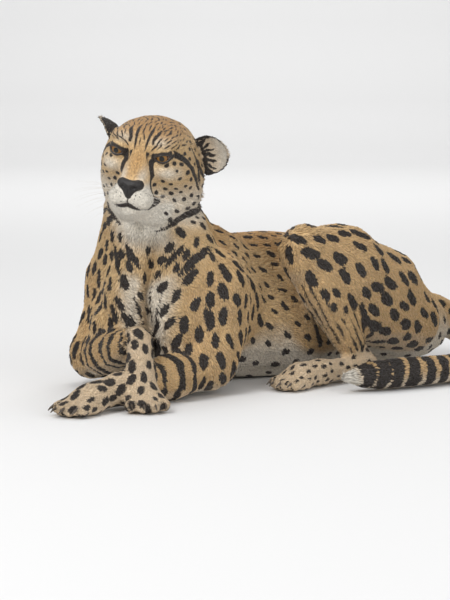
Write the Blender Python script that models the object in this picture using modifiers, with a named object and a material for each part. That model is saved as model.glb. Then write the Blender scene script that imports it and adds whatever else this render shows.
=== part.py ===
"""A cheetah at life size, lying on its chest with its forelegs crossed and its left knee raised.

The animal faces -Y, its left side is +X and the floor is z = 0. Metres.
Each body region is a list of lobes: rounded, tapering masses of flesh that melt into each other.
The lobes are remeshed into one skin, which is pulled onto the blended surface and parted by thin cuts.
"""

from dataclasses import dataclass
from math import cos, radians, sin

import bmesh
import bpy
import numpy as np
from mathutils import Matrix, Vector
from mathutils.bvhtree import BVHTree

# ---------------------------------------------------------------- driving dimensions (metres)
HEAD_LENGTH = 0.228  # nose to back of the skull, over the fur
HEAD_CENTRE = Vector((0.0175, -0.2825, 0.395))
HEAD_TURN = radians(30)  # towards the animal's left
HEAD_NOD = radians(10)  # nose down
HEAD_TILT = radians(10)  # left ear down
EYE_RADIUS = 0.0165
EYE_PLACE = Vector((0.0360, -0.0530, 0.0390))  # left eye, in the head's own frame
EAR_HEIGHT = 0.066
EAR_WIDTH = 0.076
EAR_THICKNESS = 0.008
EAR_ROOT = {1: Vector((0.067, 0.026, 0.019)), -1: Vector((-0.071, 0.020, 0.012))}  # in the head's frame
EAR_LEAN = {1: radians(62), -1: radians(29)}  # from upright, outwards
EAR_TURN = {1: radians(8), -1: radians(80)}  # about its own length, opening outwards
NOSE_WIDTH = 0.043

CHEST_TURN = radians(15)  # the forequarters face a little to the left
CHEST_CENTRE = Vector((-0.020, -0.186, 0.0))
SHOULDER_HALF_SPAN = 0.104
PELVIS_CENTRE = Vector((0.030, 0.290, 0.0))
PELVIS_TURN = radians(-22)  # the rump swings round to the left behind

ELBOW_LEFT = Vector((0.104, -0.232, 0.046))
WRIST_LEFT = Vector((0.112, -0.435, 0.034))
TOES_LEFT = Vector((0.118, -0.572, 0.0))
ELBOW_RIGHT = Vector((-0.128, -0.290, 0.050))
WRIST_RIGHT = Vector((0.088, -0.378, 0.104))
TOES_RIGHT = Vector((0.200, -0.448, 0.0))

HIP_LEFT = Vector((0.086, 0.238, 0.146))
KNEE_LEFT = Vector((0.122, -0.004, 0.242))
HOCK_LEFT = Vector((0.172, 0.098, 0.034))
HIND_TOES_LEFT = Vector((0.168, -0.118, 0.0))
HIP_RIGHT = Vector((-0.045, 0.285, 0.105))
KNEE_RIGHT = Vector((-0.166, 0.072, 0.106))
HOCK_RIGHT = Vector((-0.150, 0.325, 0.032))
HIND_TOES_RIGHT = Vector((-0.208, 0.095, 0.0))

PAW_WIDTH = 0.080
HIND_PAW_WIDTH = 0.072
CLAW_LENGTH = 0.019
TAIL_RADIUS = 0.0255

GAP = 0.0004  # left between pieces that touch
HEAD_TRIANGLES = 1300
BODY_TRIANGLES = 1340
FLOOR = 0.0

TAWNY = (0.62, 0.41, 0.20)
DARK_HORN = (0.06, 0.05, 0.045)
NOSE_LEATHER = (0.03, 0.025, 0.022)
AMBER = (0.42, 0.20, 0.05)


# ---------------------------------------------------------------- frames and lobes
@dataclass
class Lobe:
    """A mass from start to end, in its frame, with end radii and a stretch along the frame's axes."""

    frame: Matrix
    start: Vector
    end: Vector
    radii: tuple
    stretch: tuple = (1.0, 1.0, 1.0)
    blend: float = 0.03

    def distance(self, points):
        inverse = np.array(self.frame.inverted())
        local = points @ inverse[:3, :3].T + inverse[:3, 3]
        stretch = np.array(self.stretch)
        local = (local - np.array(self.start)) / stretch
        axis = (np.array(self.end) - np.array(self.start)) / stretch
        length = float(axis @ axis)
        if length > 0:
            along = np.clip(local @ axis / length, 0.0, 1.0)
        else:
            along = np.zeros(len(local))
        away = np.linalg.norm(local - along[:, None] * axis, axis=1)
        return (away - (self.radii[0] + (self.radii[1] - self.radii[0]) * along)) * stretch.min()

    def centres(self):
        """Points along the lobe, with the radius at each, close enough to fill it with balls."""
        reach = (self.end - self.start).length
        count = 1 + int(reach / (0.45 * min(self.radii) * min(self.stretch)))
        for step in range(count + 1):
            share = step / count
            radius = self.radii[0] + (self.radii[1] - self.radii[0]) * share
            yield self.start.lerp(self.end, share), radius


def frame_at(place, turn=0.0, nod=0.0, tilt=0.0, size=1.0):
    """A frame whose -Y looks forward: turned to the left, then nose down, then left side down."""
    spin = Matrix.Rotation(turn, 4, "Z") @ Matrix.Rotation(nod, 4, "X") @ Matrix.Rotation(tilt, 4, "Y")
    return Matrix.Translation(place) @ spin @ Matrix.Scale(size, 4)


WORLD = Matrix.Identity(4)
HEAD = frame_at(HEAD_CENTRE, HEAD_TURN, HEAD_NOD, HEAD_TILT, HEAD_LENGTH / 0.21)
CHEST = frame_at(CHEST_CENTRE, CHEST_TURN)
PELVIS = frame_at(PELVIS_CENTRE, PELVIS_TURN)

# Frames of the cuts behind the head and above the shoulders, and the eggs round the limbs' roots.
NAPE = HEAD @ frame_at(Vector((0, 0.058, 0)), nod=radians(-23))
NECK_BASE = frame_at(Vector((-0.030, -0.180, 0.262)), radians(15), radians(21))
ROOTS = {
    "upper_arm_left": (CHEST, (0.210, -0.040, 0.115), (0.162, 0.150, 0.160)),
    "upper_arm_right": (CHEST, (-0.210, -0.040, 0.115), (0.162, 0.150, 0.160)),
    "thigh_left": (WORLD, (0.250, 0.140, 0.170), (0.200, 0.310, 0.250)),
    "thigh_right": (WORLD, (-0.265, 0.200, 0.095), (0.190, 0.240, 0.160)),
}


def lobe(frame, start, end, radii, stretch=(1, 1, 1), blend=0.03):
    if not isinstance(radii, tuple):
        radii = (radii, radii)
    return Lobe(frame, Vector(start), Vector(end), radii, stretch, blend)


def ball(frame, centre, radii, blend=0.03):
    """An ellipsoid with its own radius along each axis of the frame."""
    return lobe(frame, centre, centre, 1.0, radii, blend)


def both_sides(make):
    """The lobes that make(side) returns for the left, side +1, and the right, side -1."""
    return [item for side in (1, -1) for item in make(side)]


def chain(frame, stations, stretch=(1, 1, 1), blend=0.03):
    """Lobes through (point, radius) stations, each ending where the next one starts."""
    made = []
    for (start, r0), (end, r1) in zip(stations, stations[1:]):
        made.append(lobe(frame, start, end, (r0, r1), stretch, blend))
    return made


# ---------------------------------------------------------------- the body's regions
def head_lobes():
    def half(side):
        jaw_tip = (side * 0.010, -0.066, -0.046)
        return [
            ball(HEAD, (side * 0.050, -0.006, 0.004), (0.027, 0.044, 0.032), 0.022),
            ball(HEAD, (side * 0.052, 0.024, -0.022), (0.029, 0.035, 0.037), 0.024),
            ball(HEAD, (side * 0.035, -0.042, 0.0605), (0.019, 0.016, 0.010), 0.014),
            ball(HEAD, (side * 0.038, -0.049, 0.0165), (0.019, 0.016, 0.015), 0.014),
            ball(HEAD, (side * 0.0170, -0.083, -0.0285), (0.0205, 0.022, 0.0180), 0.009),
            lobe(HEAD, (side * 0.036, 0.020, -0.048), jaw_tip, (0.022, 0.013), blend=0.02),
        ]

    return [
        ball(HEAD, (0, 0.028, 0.026), (0.067, 0.068, 0.053), 0.03),
        ball(HEAD, (0, -0.016, 0.043), (0.053, 0.044, 0.034), 0.03),
        lobe(HEAD, (0, -0.034, 0.046), (0, -0.083, 0.000), (0.021, 0.0165), (1.15, 1, 1), 0.016),
        lobe(HEAD, (0, -0.030, -0.010), (0, -0.076, -0.018), (0.036, 0.024), blend=0.02),
        ball(HEAD, (0, -0.0765, -0.0485), (0.0175, 0.018, 0.0115), 0.010),
        ball(HEAD, (0, 0.020, -0.040), (0.038, 0.050, 0.026), 0.03),
        *both_sides(half),
    ]


def neck_lobes():
    nape = HEAD @ Vector((0, 0.038, -0.004))
    gullet = HEAD @ Vector((0, 0.018, -0.040))

    def mane(side):
        start = HEAD @ Vector((side * 0.030, 0.022, -0.040))
        end = CHEST @ Vector((side * 0.084, -0.056, 0.206))
        return [lobe(WORLD, start, end, (0.040, 0.054), blend=0.03)]

    return [
        lobe(WORLD, nape, (-0.034, -0.144, 0.200), (0.048, 0.072), blend=0.05),
        lobe(WORLD, gullet, CHEST @ Vector((-0.004, -0.096, 0.185)), (0.046, 0.060), blend=0.04),
        *both_sides(mane),
    ]


def trunk_lobes():
    def breast(side):
        start = (side * 0.030, -0.080, 0.190)
        return [lobe(CHEST, start, (side * 0.024, -0.086, 0.105), (0.046, 0.042), blend=0.02)]

    spine = [
        (CHEST @ Vector((0, -0.060, 0.142)), 0.104),
        (CHEST @ Vector((-0.004, 0.050, 0.137)), 0.120),
        (Vector((-0.034, 0.050, 0.128)), 0.114),
        (Vector((-0.030, 0.175, 0.123)), 0.108),
        (PELVIS @ Vector((0, 0, 0.102)), 0.094),
        (PELVIS @ Vector((0, 0.098, 0.072)), 0.064),
    ]
    return [
        *chain(WORLD, spine, (0.90, 1, 1.04), 0.05),
        lobe(WORLD, (-0.026, -0.080, 0.213), (-0.042, 0.120, 0.206), (0.040, 0.034), blend=0.05),
        ball(WORLD, (-0.012, 0.055, 0.072), (0.116, 0.150, 0.080), 0.05),
        *both_sides(breast),
    ]


def upper_arm_lobes(side):
    elbow = ELBOW_LEFT if side > 0 else ELBOW_RIGHT
    wrist = WRIST_LEFT if side > 0 else WRIST_RIGHT
    joint = CHEST @ Vector((side * SHOULDER_HALF_SPAN, -0.028, 0.182))
    blade = CHEST @ Vector((side * 0.046, 0.076, 0.234))
    rear = CHEST @ Vector((side * 0.084, 0.050, 0.160))
    front = CHEST @ Vector((side * 0.058, -0.102, 0.112))
    return [
        lobe(WORLD, joint, blade, (0.050, 0.032), blend=0.04),
        lobe(WORLD, joint, elbow + Vector((0, 0.010, 0.018)), (0.054, 0.042), blend=0.030),
        lobe(WORLD, rear, elbow + Vector((0, 0.022, 0.010)), (0.050, 0.040), blend=0.035),
        lobe(WORLD, joint, front, (0.048, 0.052), blend=0.011),
        lobe(WORLD, elbow, elbow.lerp(wrist, 0.14), (0.043, 0.040), blend=0.02),
    ]


def elbow_lobes(side):
    elbow = ELBOW_LEFT if side > 0 else ELBOW_RIGHT
    wrist = WRIST_LEFT if side > 0 else WRIST_RIGHT
    return chain(WORLD, [(elbow, 0.043), (elbow.lerp(wrist, 0.42), 0.038), (wrist, 0.0265)], blend=0.02)


def paw_frame(wrist, toes):
    """Origin under the paw's heel, with -Y towards the toes along the floor."""
    aim = Vector((toes.x - wrist.x, toes.y - wrist.y, 0)).normalized()
    turn = Vector((0, -1)).angle_signed(Vector((aim.x, aim.y)))
    return Matrix.Translation((toes.x, toes.y, FLOOR)) @ Matrix.Rotation(-turn, 4, "Z")


def paw_lobes(wrist, toes, width, ankle_radius):
    """Heel pad, wrist and four toes, spread evenly and longest in the middle."""
    frame = paw_frame(wrist, toes)
    size = width / 0.080
    instep = frame @ Vector((0, 0.066 * size, 0.026))
    made = [
        lobe(WORLD, wrist, instep, (ankle_radius, 0.027 * size), blend=0.018),
        ball(frame, (0, 0.054 * size, 0.016), (0.033 * size, 0.034 * size, 0.024), 0.014),
    ]
    for toe in toe_places(size):
        knuckle = (toe.x * 0.72, 0.050 * size, 0.019)
        made.append(lobe(frame, knuckle, toe, (0.0135 * size, 0.0128 * size), blend=0.006))
    return made


def toe_places(size):
    """Centres of the four toe tips in the paw's frame, from its right to its left."""
    for number in range(4):
        across = (number - 1.5) / 1.5
        yield Vector((across * 0.0285 * size, (0.010 + 0.013 * across * across) * size, 0.0125))


def shin_lobe(knee, hock, toes, end, radii):
    """The straight front of the lower leg, from the knee to a share of the way down it."""
    ahead = (toes - hock).normalized()
    top = knee.lerp(hock, 0.10) + ahead * 0.012
    return lobe(WORLD, top, knee.lerp(hock, end) + ahead * 0.008, radii, blend=0.02)


def thigh_lobes(side):
    if side > 0:
        made = chain(WORLD, [(KNEE_LEFT, 0.047), (Vector((0.112, 0.100, 0.206)), 0.074), (HIP_LEFT, 0.082)])
        made += [
            lobe(WORLD, HIP_LEFT, (0.080, 0.330, 0.068), (0.080, 0.058), blend=0.03),
            lobe(WORLD, (0.108, 0.300, 0.090), (0.142, 0.120, 0.108), (0.060, 0.046), blend=0.03),
            lobe(WORLD, (0.118, 0.180, 0.150), (0.136, 0.055, 0.160), (0.060, 0.046), blend=0.03),
            lobe(WORLD, KNEE_LEFT, KNEE_LEFT.lerp(HOCK_LEFT, 0.26), (0.043, 0.038), blend=0.02),
            shin_lobe(KNEE_LEFT, HOCK_LEFT, HIND_TOES_LEFT, 0.28, (0.037, 0.031)),
        ]
        return made
    return [
        lobe(WORLD, HIP_RIGHT, (0.000, 0.375, 0.074), (0.078, 0.058), blend=0.03),
        lobe(WORLD, HIP_RIGHT, (-0.128, 0.170, 0.112), (0.082, 0.066), blend=0.02),
        lobe(WORLD, (-0.128, 0.170, 0.112), KNEE_RIGHT, (0.066, 0.046), blend=0.016),
        lobe(WORLD, (-0.108, 0.300, 0.084), (-0.152, 0.150, 0.082), (0.060, 0.042), blend=0.018),
    ]


def shank_lobes(knee, hock, toes):
    """The calf down the back, and in front of it the shin, which runs straight from the knee to the ankle."""
    calf = knee.lerp(hock, 0.40)
    shin = shin_lobe(knee, hock, toes, 0.80, (0.038, 0.0225))
    return [*chain(WORLD, [(knee, 0.044), (calf, 0.038), (hock, 0.0225)], blend=0.02), shin]


def hind_foot_lobes(hock, toes):
    heel = hock + (hock - toes).normalized() * 0.012
    heel.z = 0.027
    instep = hock.lerp(toes, 0.50)
    instep.z = 0.025
    return [
        lobe(WORLD, hock, heel, (0.0215, 0.0200), blend=0.014),
        lobe(WORLD, heel, instep, (0.0200, 0.0210), blend=0.014),
        *paw_lobes(instep, toes, HIND_PAW_WIDTH, 0.0215),
    ]


def tail_points():
    """The tail's line: down from the rump, then round the left haunch along the floor."""
    return [
        PELVIS @ Vector((0, 0.090, 0.105)),
        Vector((0.094, 0.462, 0.066)),
        Vector((0.150, 0.496, 0.032)),
        Vector((0.226, 0.462, 0.029)),
        Vector((0.284, 0.380, 0.028)),
        Vector((0.312, 0.275, 0.028)),
        Vector((0.312, 0.165, 0.028)),
        Vector((0.292, 0.062, 0.029)),
        Vector((0.262, -0.025, 0.027)),
    ]


def through(points, per_span):
    """A Catmull-Rom curve through the points, as a list of points."""
    ends = [points[0] * 2 - points[1], *points, points[-1] * 2 - points[-2]]
    line = []
    for a, b, c, d in zip(ends, ends[1:], ends[2:], ends[3:]):
        for step in range(per_span):
            t = step / per_span
            curve = 2 * b + (c - a) * t + (2 * a - 5 * b + 4 * c - d) * t * t
            line.append((curve + (3 * b - a - 3 * c + d) * t * t * t) / 2)
    return [*line, points[-1]]


def tail_lobes():
    line = through(tail_points(), 4)
    radii = []
    for number in range(len(line)):
        share = number / (len(line) - 1)
        root = 0.014 * max(0.0, 1 - share / 0.25)
        tip = 0.010 * max(0.0, (share - 0.93) / 0.07)
        radii.append(TAIL_RADIUS + root - tip)
    return chain(WORLD, list(zip(line, radii)), blend=0.012)


# ---------------------------------------------------------------- from lobes to meshes
def smooth_min(first, second, blend):
    share = np.clip(0.5 + 0.5 * (second - first) / blend, 0.0, 1.0)
    return second + (first - second) * share - blend * share * (1.0 - share)


def surface(lobes, points):
    """Signed distance of the points from the blended lobes: negative inside."""
    found = lobes[0].distance(points)
    for item in lobes[1:]:
        found = smooth_min(found, item.distance(points), item.blend)
    return found


def pull_onto(lobes, points, rounds):
    """Moves the points along the surface's slope until they lie on it."""
    step = 0.0005
    for _ in range(rounds):
        here = surface(lobes, points)
        slope = np.empty_like(points)
        for axis in range(3):
            nudge = np.zeros(3)
            nudge[axis] = step
            slope[:, axis] = (surface(lobes, points + nudge) - here) / step
        steep = np.maximum((slope * slope).sum(axis=1), 0.05)
        points = points - slope * (here / steep)[:, None]
    return points


def read_points(mesh):
    flat = np.empty(len(mesh.vertices) * 3, np.float32)
    mesh.vertices.foreach_get("co", flat)
    return flat.reshape(-1, 3).astype(float)


def relax(lobes, mesh, rounds):
    """Evens out the mesh and keeps it on the blended surface."""
    points = read_points(mesh)
    edges = np.array([edge.vertices[:] for edge in mesh.edges])
    ends = np.concatenate([edges[:, 0], edges[:, 1]])
    others = np.concatenate([edges[:, 1], edges[:, 0]])
    degree = np.maximum(np.bincount(ends, minlength=len(points)), 1)
    for _ in range(rounds):
        mean = np.empty_like(points)
        for axis in range(3):
            mean[:, axis] = np.bincount(ends, points[others, axis], len(points)) / degree
        points = pull_onto(lobes, points + (mean - points) * 0.6, 1)
    points = pull_onto(lobes, points, 3)
    mesh.vertices.foreach_set("co", points.astype(np.float32).ravel())
    mesh.update()


def evaluated_mesh(obj):
    """Applies the object's modifiers and returns its final mesh."""
    graph = bpy.context.evaluated_depsgraph_get()
    mesh = bpy.data.meshes.new_from_object(obj.evaluated_get(graph))
    obj.modifiers.clear()
    obj.data = mesh
    return mesh


def new_object(name, mesh, collection):
    obj = bpy.data.objects.new(name, mesh)
    collection.objects.link(obj)
    return obj


def grow(name, lobes, voxel, faces):
    """One closed mesh of the blended lobes, with about so many triangles."""
    bm = bmesh.new()
    for item in lobes:
        for centre, radius in item.centres():
            stretched = Matrix.Diagonal((*[radius * s for s in item.stretch], 1))
            place = item.frame @ Matrix.Translation(centre) @ stretched
            bmesh.ops.create_icosphere(bm, subdivisions=2, radius=1.0, matrix=place)
    mesh = bpy.data.meshes.new(name)
    bm.to_mesh(mesh)
    bm.free()
    obj = new_object(name, mesh, workshop)
    remesh = obj.modifiers.new("remesh", "REMESH")
    remesh.mode = "VOXEL"
    remesh.voxel_size = voxel
    relax(lobes, evaluated_mesh(obj), 6)
    decimate = obj.modifiers.new("decimate", "DECIMATE")
    decimate.ratio = min(1.0, faces / (2 * len(obj.data.polygons)))
    mesh = evaluated_mesh(obj)
    points = pull_onto(lobes, read_points(mesh), 2)
    mesh.vertices.foreach_set("co", points.astype(np.float32).ravel())
    flatten_base(obj)
    return obj


def edit(obj, work):
    """Runs work(bm) on the object's mesh."""
    bm = bmesh.new()
    bm.from_mesh(obj.data)
    work(bm)
    bm.to_mesh(obj.data)
    bm.free()
    obj.data.update()


def slice_off(obj, point, normal):
    """Removes what lies on the side that normal points to, and closes the cut."""

    def work(bm):
        everything = [*bm.verts, *bm.edges, *bm.faces]
        bmesh.ops.bisect_plane(
            bm, geom=everything, dist=1e-6, plane_co=point, plane_no=normal, clear_outer=True
        )
        bmesh.ops.holes_fill(bm, edges=[edge for edge in bm.edges if edge.is_boundary])
        bmesh.ops.triangulate(bm, faces=[face for face in bm.faces if len(face.verts) > 4])
        bmesh.ops.recalc_face_normals(bm, faces=bm.faces)

    edit(obj, work)
    return obj


def flatten_base(obj):
    """Cuts the object flat where it rests on the floor."""
    if min(vertex.co.z for vertex in obj.data.vertices) < FLOOR:
        slice_off(obj, Vector((0, 0, FLOOR)), Vector((0, 0, -1)))


def keep_largest(obj):
    """Drops the crumbs and slivers that a cut leaves, and keeps the one body."""

    def work(bm):
        bmesh.ops.remove_doubles(bm, verts=bm.verts, dist=0.00002)
        bmesh.ops.dissolve_degenerate(bm, dist=0.00002, edges=bm.edges)
        bmesh.ops.triangulate(bm, faces=bm.faces)
        unseen = set(bm.verts)
        islands = []
        while unseen:
            island, queue = set(), [unseen.pop()]
            while queue:
                vertex = queue.pop()
                island.add(vertex)
                for edge in vertex.link_edges:
                    other = edge.other_vert(vertex)
                    if other in unseen:
                        unseen.discard(other)
                        queue.append(other)
            islands.append(island)
        islands.sort(key=len)
        crumbs = [vertex for island in islands[:-1] for vertex in island]
        bmesh.ops.delete(bm, geom=crumbs, context="VERTS")

    edit(obj, work)


def carve(obj, cutter, operation="DIFFERENCE"):
    boolean = obj.modifiers.new("cut", "BOOLEAN")
    boolean.operation = operation
    boolean.object = cutter
    boolean.solver = "EXACT"
    evaluated_mesh(obj)
    keep_largest(obj)
    return obj


def touching(one, other):
    """Whether the two meshes cut into each other."""
    trees = []
    for obj in (one, other):
        bm = bmesh.new()
        bm.from_mesh(obj.data)
        trees.append(BVHTree.FromBMesh(bm))
        bm.free()
    return bool(trees[0].overlap(trees[1]))


def copy_of(obj, name):
    return new_object(name, obj.data.copy(), workshop)


def swollen(obj, by=GAP * 1.6):
    """A copy that is bigger all round, for cutting a seat that clears the object."""
    made = copy_of(obj, obj.name + "_seat")
    edit(made, lambda bm: bmesh.ops.recalc_face_normals(bm, faces=bm.faces))
    normals = np.array([vertex.normal for vertex in made.data.vertices])
    points = read_points(made.data) + normals * by * 1.25
    made.data.vertices.foreach_set("co", points.astype(np.float32).ravel())
    made.data.update()
    return made


# ---------------------------------------------------------------- the pieces
def finish(obj, name, colour, roughness=0.85):
    """Moves a finished piece into the cheetah's collection, with its name and material."""
    obj.name = name
    obj.data.name = name
    workshop.objects.unlink(obj)
    cheetah.objects.link(obj)
    key = "%.2f_%.2f_%.2f" % colour
    material = bpy.data.materials.get(key)
    if material is None:
        material = bpy.data.materials.new(key)
        material.use_nodes = True
        shader = material.node_tree.nodes["Principled BSDF"]
        shader.inputs["Base Color"].default_value = (*colour, 1)
        shader.inputs["Roughness"].default_value = roughness
    obj.data.materials.clear()
    obj.data.materials.append(material)
    obj.data.shade_smooth()
    obj.data.set_sharp_from_angle(angle=radians(50))
    obj.hide_render = False
    return obj


def make_eye(side):
    bm = bmesh.new()
    place = HEAD @ Vector((side * EYE_PLACE.x, EYE_PLACE.y, EYE_PLACE.z))
    bmesh.ops.create_uvsphere(bm, u_segments=14, v_segments=8, radius=EYE_RADIUS)
    aim = HEAD.to_quaternion() @ Vector((side * 0.22, -1.0, 0.02))
    turn = aim.to_track_quat("Z", "Y").to_matrix().to_4x4()
    bmesh.ops.transform(bm, matrix=Matrix.Translation(place) @ turn, verts=bm.verts)
    mesh = bpy.data.meshes.new("eye")
    bm.to_mesh(mesh)
    bm.free()
    return new_object("eye", mesh, workshop)


def ear_frame(side):
    """Origin at the ear's root, +Z towards its tip and -Y out of its opening."""
    root = HEAD @ EAR_ROOT[side]
    lean = Matrix.Rotation(side * EAR_LEAN[side], 4, "Y")
    turn = Matrix.Rotation(side * EAR_TURN[side], 4, "Z")
    return Matrix.Translation(root) @ HEAD.to_quaternion().to_matrix().to_4x4() @ lean @ turn


def make_ear(side):
    """A round cupped ear: a flattened ball whose front half is pushed back into a bowl."""
    bm = bmesh.new()
    bmesh.ops.create_uvsphere(bm, u_segments=14, v_segments=8, radius=1.0)
    for vertex in bm.verts:
        across, up, skin = vertex.co
        radius = min(1.0, Vector((across, up)).length)
        taper = 1.0 - 0.10 * max(0.0, -up) - 0.16 * max(0.0, up) ** 2
        cup = 0.024 * (1.0 - radius**2) + 0.008 * across * across * (1.0 + up)
        height = EAR_HEIGHT * (0.36 + 0.60 * up)
        depth = cup - skin * EAR_THICKNESS / 2
        vertex.co = Vector((across * EAR_WIDTH / 2 * taper, depth, height))
    bmesh.ops.recalc_face_normals(bm, faces=bm.faces)
    mesh = bpy.data.meshes.new("ear")
    bm.to_mesh(mesh)
    bm.free()
    obj = new_object("ear", mesh, workshop)
    obj.data.transform(ear_frame(side))
    return obj


def nose_lobes():
    half = NOSE_WIDTH / 2

    def wing(side):
        return [ball(HEAD, (side * half * 0.58, -0.0935, -0.0035), (half * 0.42, 0.0105, 0.0080), 0.006)]

    return [
        ball(HEAD, (0, -0.0965, -0.0065), (half * 0.80, 0.0110, 0.0105), 0.006),
        ball(HEAD, (0, -0.0965, -0.0180), (half * 0.36, 0.0100, 0.0100), 0.008),
        *both_sides(wing),
    ]


def make_claw(frame, toe, size):
    """A short hooked cone that leaves the toe's tip forwards and down."""
    bm = bmesh.new()
    segments, rings = 5, 3
    length = CLAW_LENGTH * size
    bmesh.ops.create_cone(
        bm, cap_ends=True, segments=segments, radius1=0.0040 * size, radius2=0.0010, depth=length
    )
    bmesh.ops.subdivide_edges(
        bm, edges=[e for e in bm.edges if abs(e.verts[0].co.z - e.verts[1].co.z) > 1e-4], cuts=rings - 1
    )
    for vertex in bm.verts:
        share = vertex.co.z / length + 0.5
        bend = share * radians(42)
        reach = length * sin(bend) / radians(42)
        drop = length * (1 - cos(bend)) / radians(42)
        across, thick = vertex.co.x * 0.62, vertex.co.y
        vertex.co = Vector((across, -reach - thick * sin(bend), -drop + thick * cos(bend)))
    root = toe + Vector((0, -0.0060 * size, 0.0045))
    bmesh.ops.transform(bm, matrix=frame @ Matrix.Translation(root), verts=bm.verts)
    bmesh.ops.recalc_face_normals(bm, faces=bm.faces)
    bmesh.ops.triangulate(bm, faces=bm.faces)
    mesh = bpy.data.meshes.new("claw")
    bm.to_mesh(mesh)
    bm.free()
    return new_object("claw", mesh, workshop)


def limb_plane(start, end, share):
    """A cut across a limb, a share of the way from start to end: (point, direction to the end)."""
    return start.lerp(end, share), (end - start).normalized()


def box(frame, low, high):
    """A box between two corners, in its frame."""
    bm = bmesh.new()
    bmesh.ops.create_cube(bm, size=1.0)
    for vertex in bm.verts:
        share = [value + 0.5 for value in vertex.co]
        vertex.co = frame @ Vector([a + (b - a) * t for a, b, t in zip(low, high, share)])
    bmesh.ops.recalc_face_normals(bm, faces=bm.faces)
    bmesh.ops.triangulate(bm, faces=bm.faces)
    mesh = bpy.data.meshes.new("box")
    bm.to_mesh(mesh)
    bm.free()
    return new_object("box", mesh, workshop)


def head_box(shift):
    """What lies in front of the nape's cut and above the throat's."""
    return box(NAPE, (-0.14, -0.30, -0.118 + shift), (0.14, -shift, 0.20))


def neck_box(shift):
    reach = 0.17 - shift
    return box(NECK_BASE, (-reach, -reach, shift), (reach, reach, 0.30))


def hollow(frame, centre, radii, shift=0.0):
    """An egg that parts a limb's root from the body: it bulges into the body from outside."""
    bm = bmesh.new()
    bmesh.ops.create_icosphere(bm, subdivisions=2, radius=1.0)
    for vertex in bm.verts:
        place = [c + v * (r - shift) for c, v, r in zip(centre, vertex.co, radii)]
        vertex.co = frame @ Vector(place)
    mesh = bpy.data.meshes.new("hollow")
    bm.to_mesh(mesh)
    bm.free()
    return new_object("hollow", mesh, workshop)


def part_of(whole, name, cutter_at):
    """Takes what lies in the cutter out of the whole, as a piece of its own with a gap round it."""
    piece = carve(copy_of(whole, name), cutter_at(GAP / 2), "INTERSECT")
    carve(whole, cutter_at(-GAP / 2))
    return piece


def make_limb(lobes, faces, start_cut, end_cut, voxel):
    """A limb's length between two cuts across it."""
    obj = grow("limb", lobes, voxel, faces)
    point, direction = start_cut
    slice_off(obj, point + direction * GAP / 2, -direction)
    if end_cut:
        point, direction = end_cut
        slice_off(obj, point - direction * GAP / 2, direction)
    keep_largest(obj)
    return obj


def make_lower_limbs():
    """Forearms, forepaws, shanks and hind feet; where two cross, the lower one makes way."""
    limbs = {}
    sides = {"left": 1, "right": -1}
    elbows = {"left": ELBOW_LEFT, "right": ELBOW_RIGHT}
    wrists = {"left": WRIST_LEFT, "right": WRIST_RIGHT}
    toes = {"left": TOES_LEFT, "right": TOES_RIGHT}
    knees = {"left": KNEE_LEFT, "right": KNEE_RIGHT}
    hocks = {"left": HOCK_LEFT, "right": HOCK_RIGHT}
    hind_toes = {"left": HIND_TOES_LEFT, "right": HIND_TOES_RIGHT}
    for name, side in sides.items():
        elbow, wrist = elbows[name], wrists[name]
        arm = [*elbow_lobes(side), *paw_lobes(wrist, toes[name], PAW_WIDTH, 0.0265)]
        elbow_cut = limb_plane(elbow, wrist, 0.20)
        wrist_cut = limb_plane(elbow, wrist, 0.97)
        limbs["forearm_" + name] = make_limb(arm, 220, elbow_cut, wrist_cut, 0.006)
        limbs["forepaw_" + name] = make_limb(arm, 500, wrist_cut, None, 0.0042)

        knee, hock = knees[name], hocks[name]
        knee_cut = limb_plane(knee, hock, 0.24)
        hock_cut = limb_plane(knee, hock, 0.88)
        shank = shank_lobes(knee, hock, hind_toes[name])
        limbs["shank_" + name] = make_limb(shank, 240, knee_cut, hock_cut, 0.006)
        ahead = (hind_toes[name] - hock).normalized()
        ankle = lobe(WORLD, knee.lerp(hock, 0.80) + ahead * 0.005, hock, (0.0245, 0.0225), blend=0.02)
        foot = [ankle, *hind_foot_lobes(hock, hind_toes[name])]
        limbs["hind_foot_" + name] = grow("foot", foot, 0.0042, 440)
    for upper in ("forearm_right", "forepaw_right"):
        for lower in ("forearm_left", "forepaw_left"):
            carve(limbs[lower], swollen(limbs[upper]))
    for name in sides:
        carve(limbs["hind_foot_" + name], swollen(limbs["shank_" + name]))
    return limbs


def make_tail():
    """The tail in three lengths, from one mesh."""
    line = tail_points()
    lengths = {}
    for name, first, last in (("tail_root", None, 3), ("tail_middle", 3, 6), ("tail_tip", 6, None)):
        piece = grow(name, tail_lobes(), 0.008, 400)
        if first:
            ahead = (line[first + 1] - line[first - 1]).normalized()
            slice_off(piece, line[first] + ahead * GAP / 2, -ahead)
        if last:
            ahead = (line[last + 1] - line[last - 1]).normalized()
            slice_off(piece, line[last] - ahead * GAP / 2, ahead)
        keep_largest(piece)
        lengths[name] = piece
    return lengths


def claw_places(name):
    """The frame, toe centres and size of a paw's claws."""
    places = {
        "forepaw_left": (WRIST_LEFT, TOES_LEFT, PAW_WIDTH),
        "forepaw_right": (WRIST_RIGHT, TOES_RIGHT, PAW_WIDTH),
        "hind_foot_left": (HOCK_LEFT, HIND_TOES_LEFT, HIND_PAW_WIDTH),
        "hind_foot_right": (HOCK_RIGHT, HIND_TOES_RIGHT, HIND_PAW_WIDTH),
    }
    start, toes, width = places[name]
    if name.startswith("hind"):
        start = start.lerp(toes, 0.50)
    size = width / 0.080
    return paw_frame(start, toes), list(toe_places(size)), size


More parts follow.
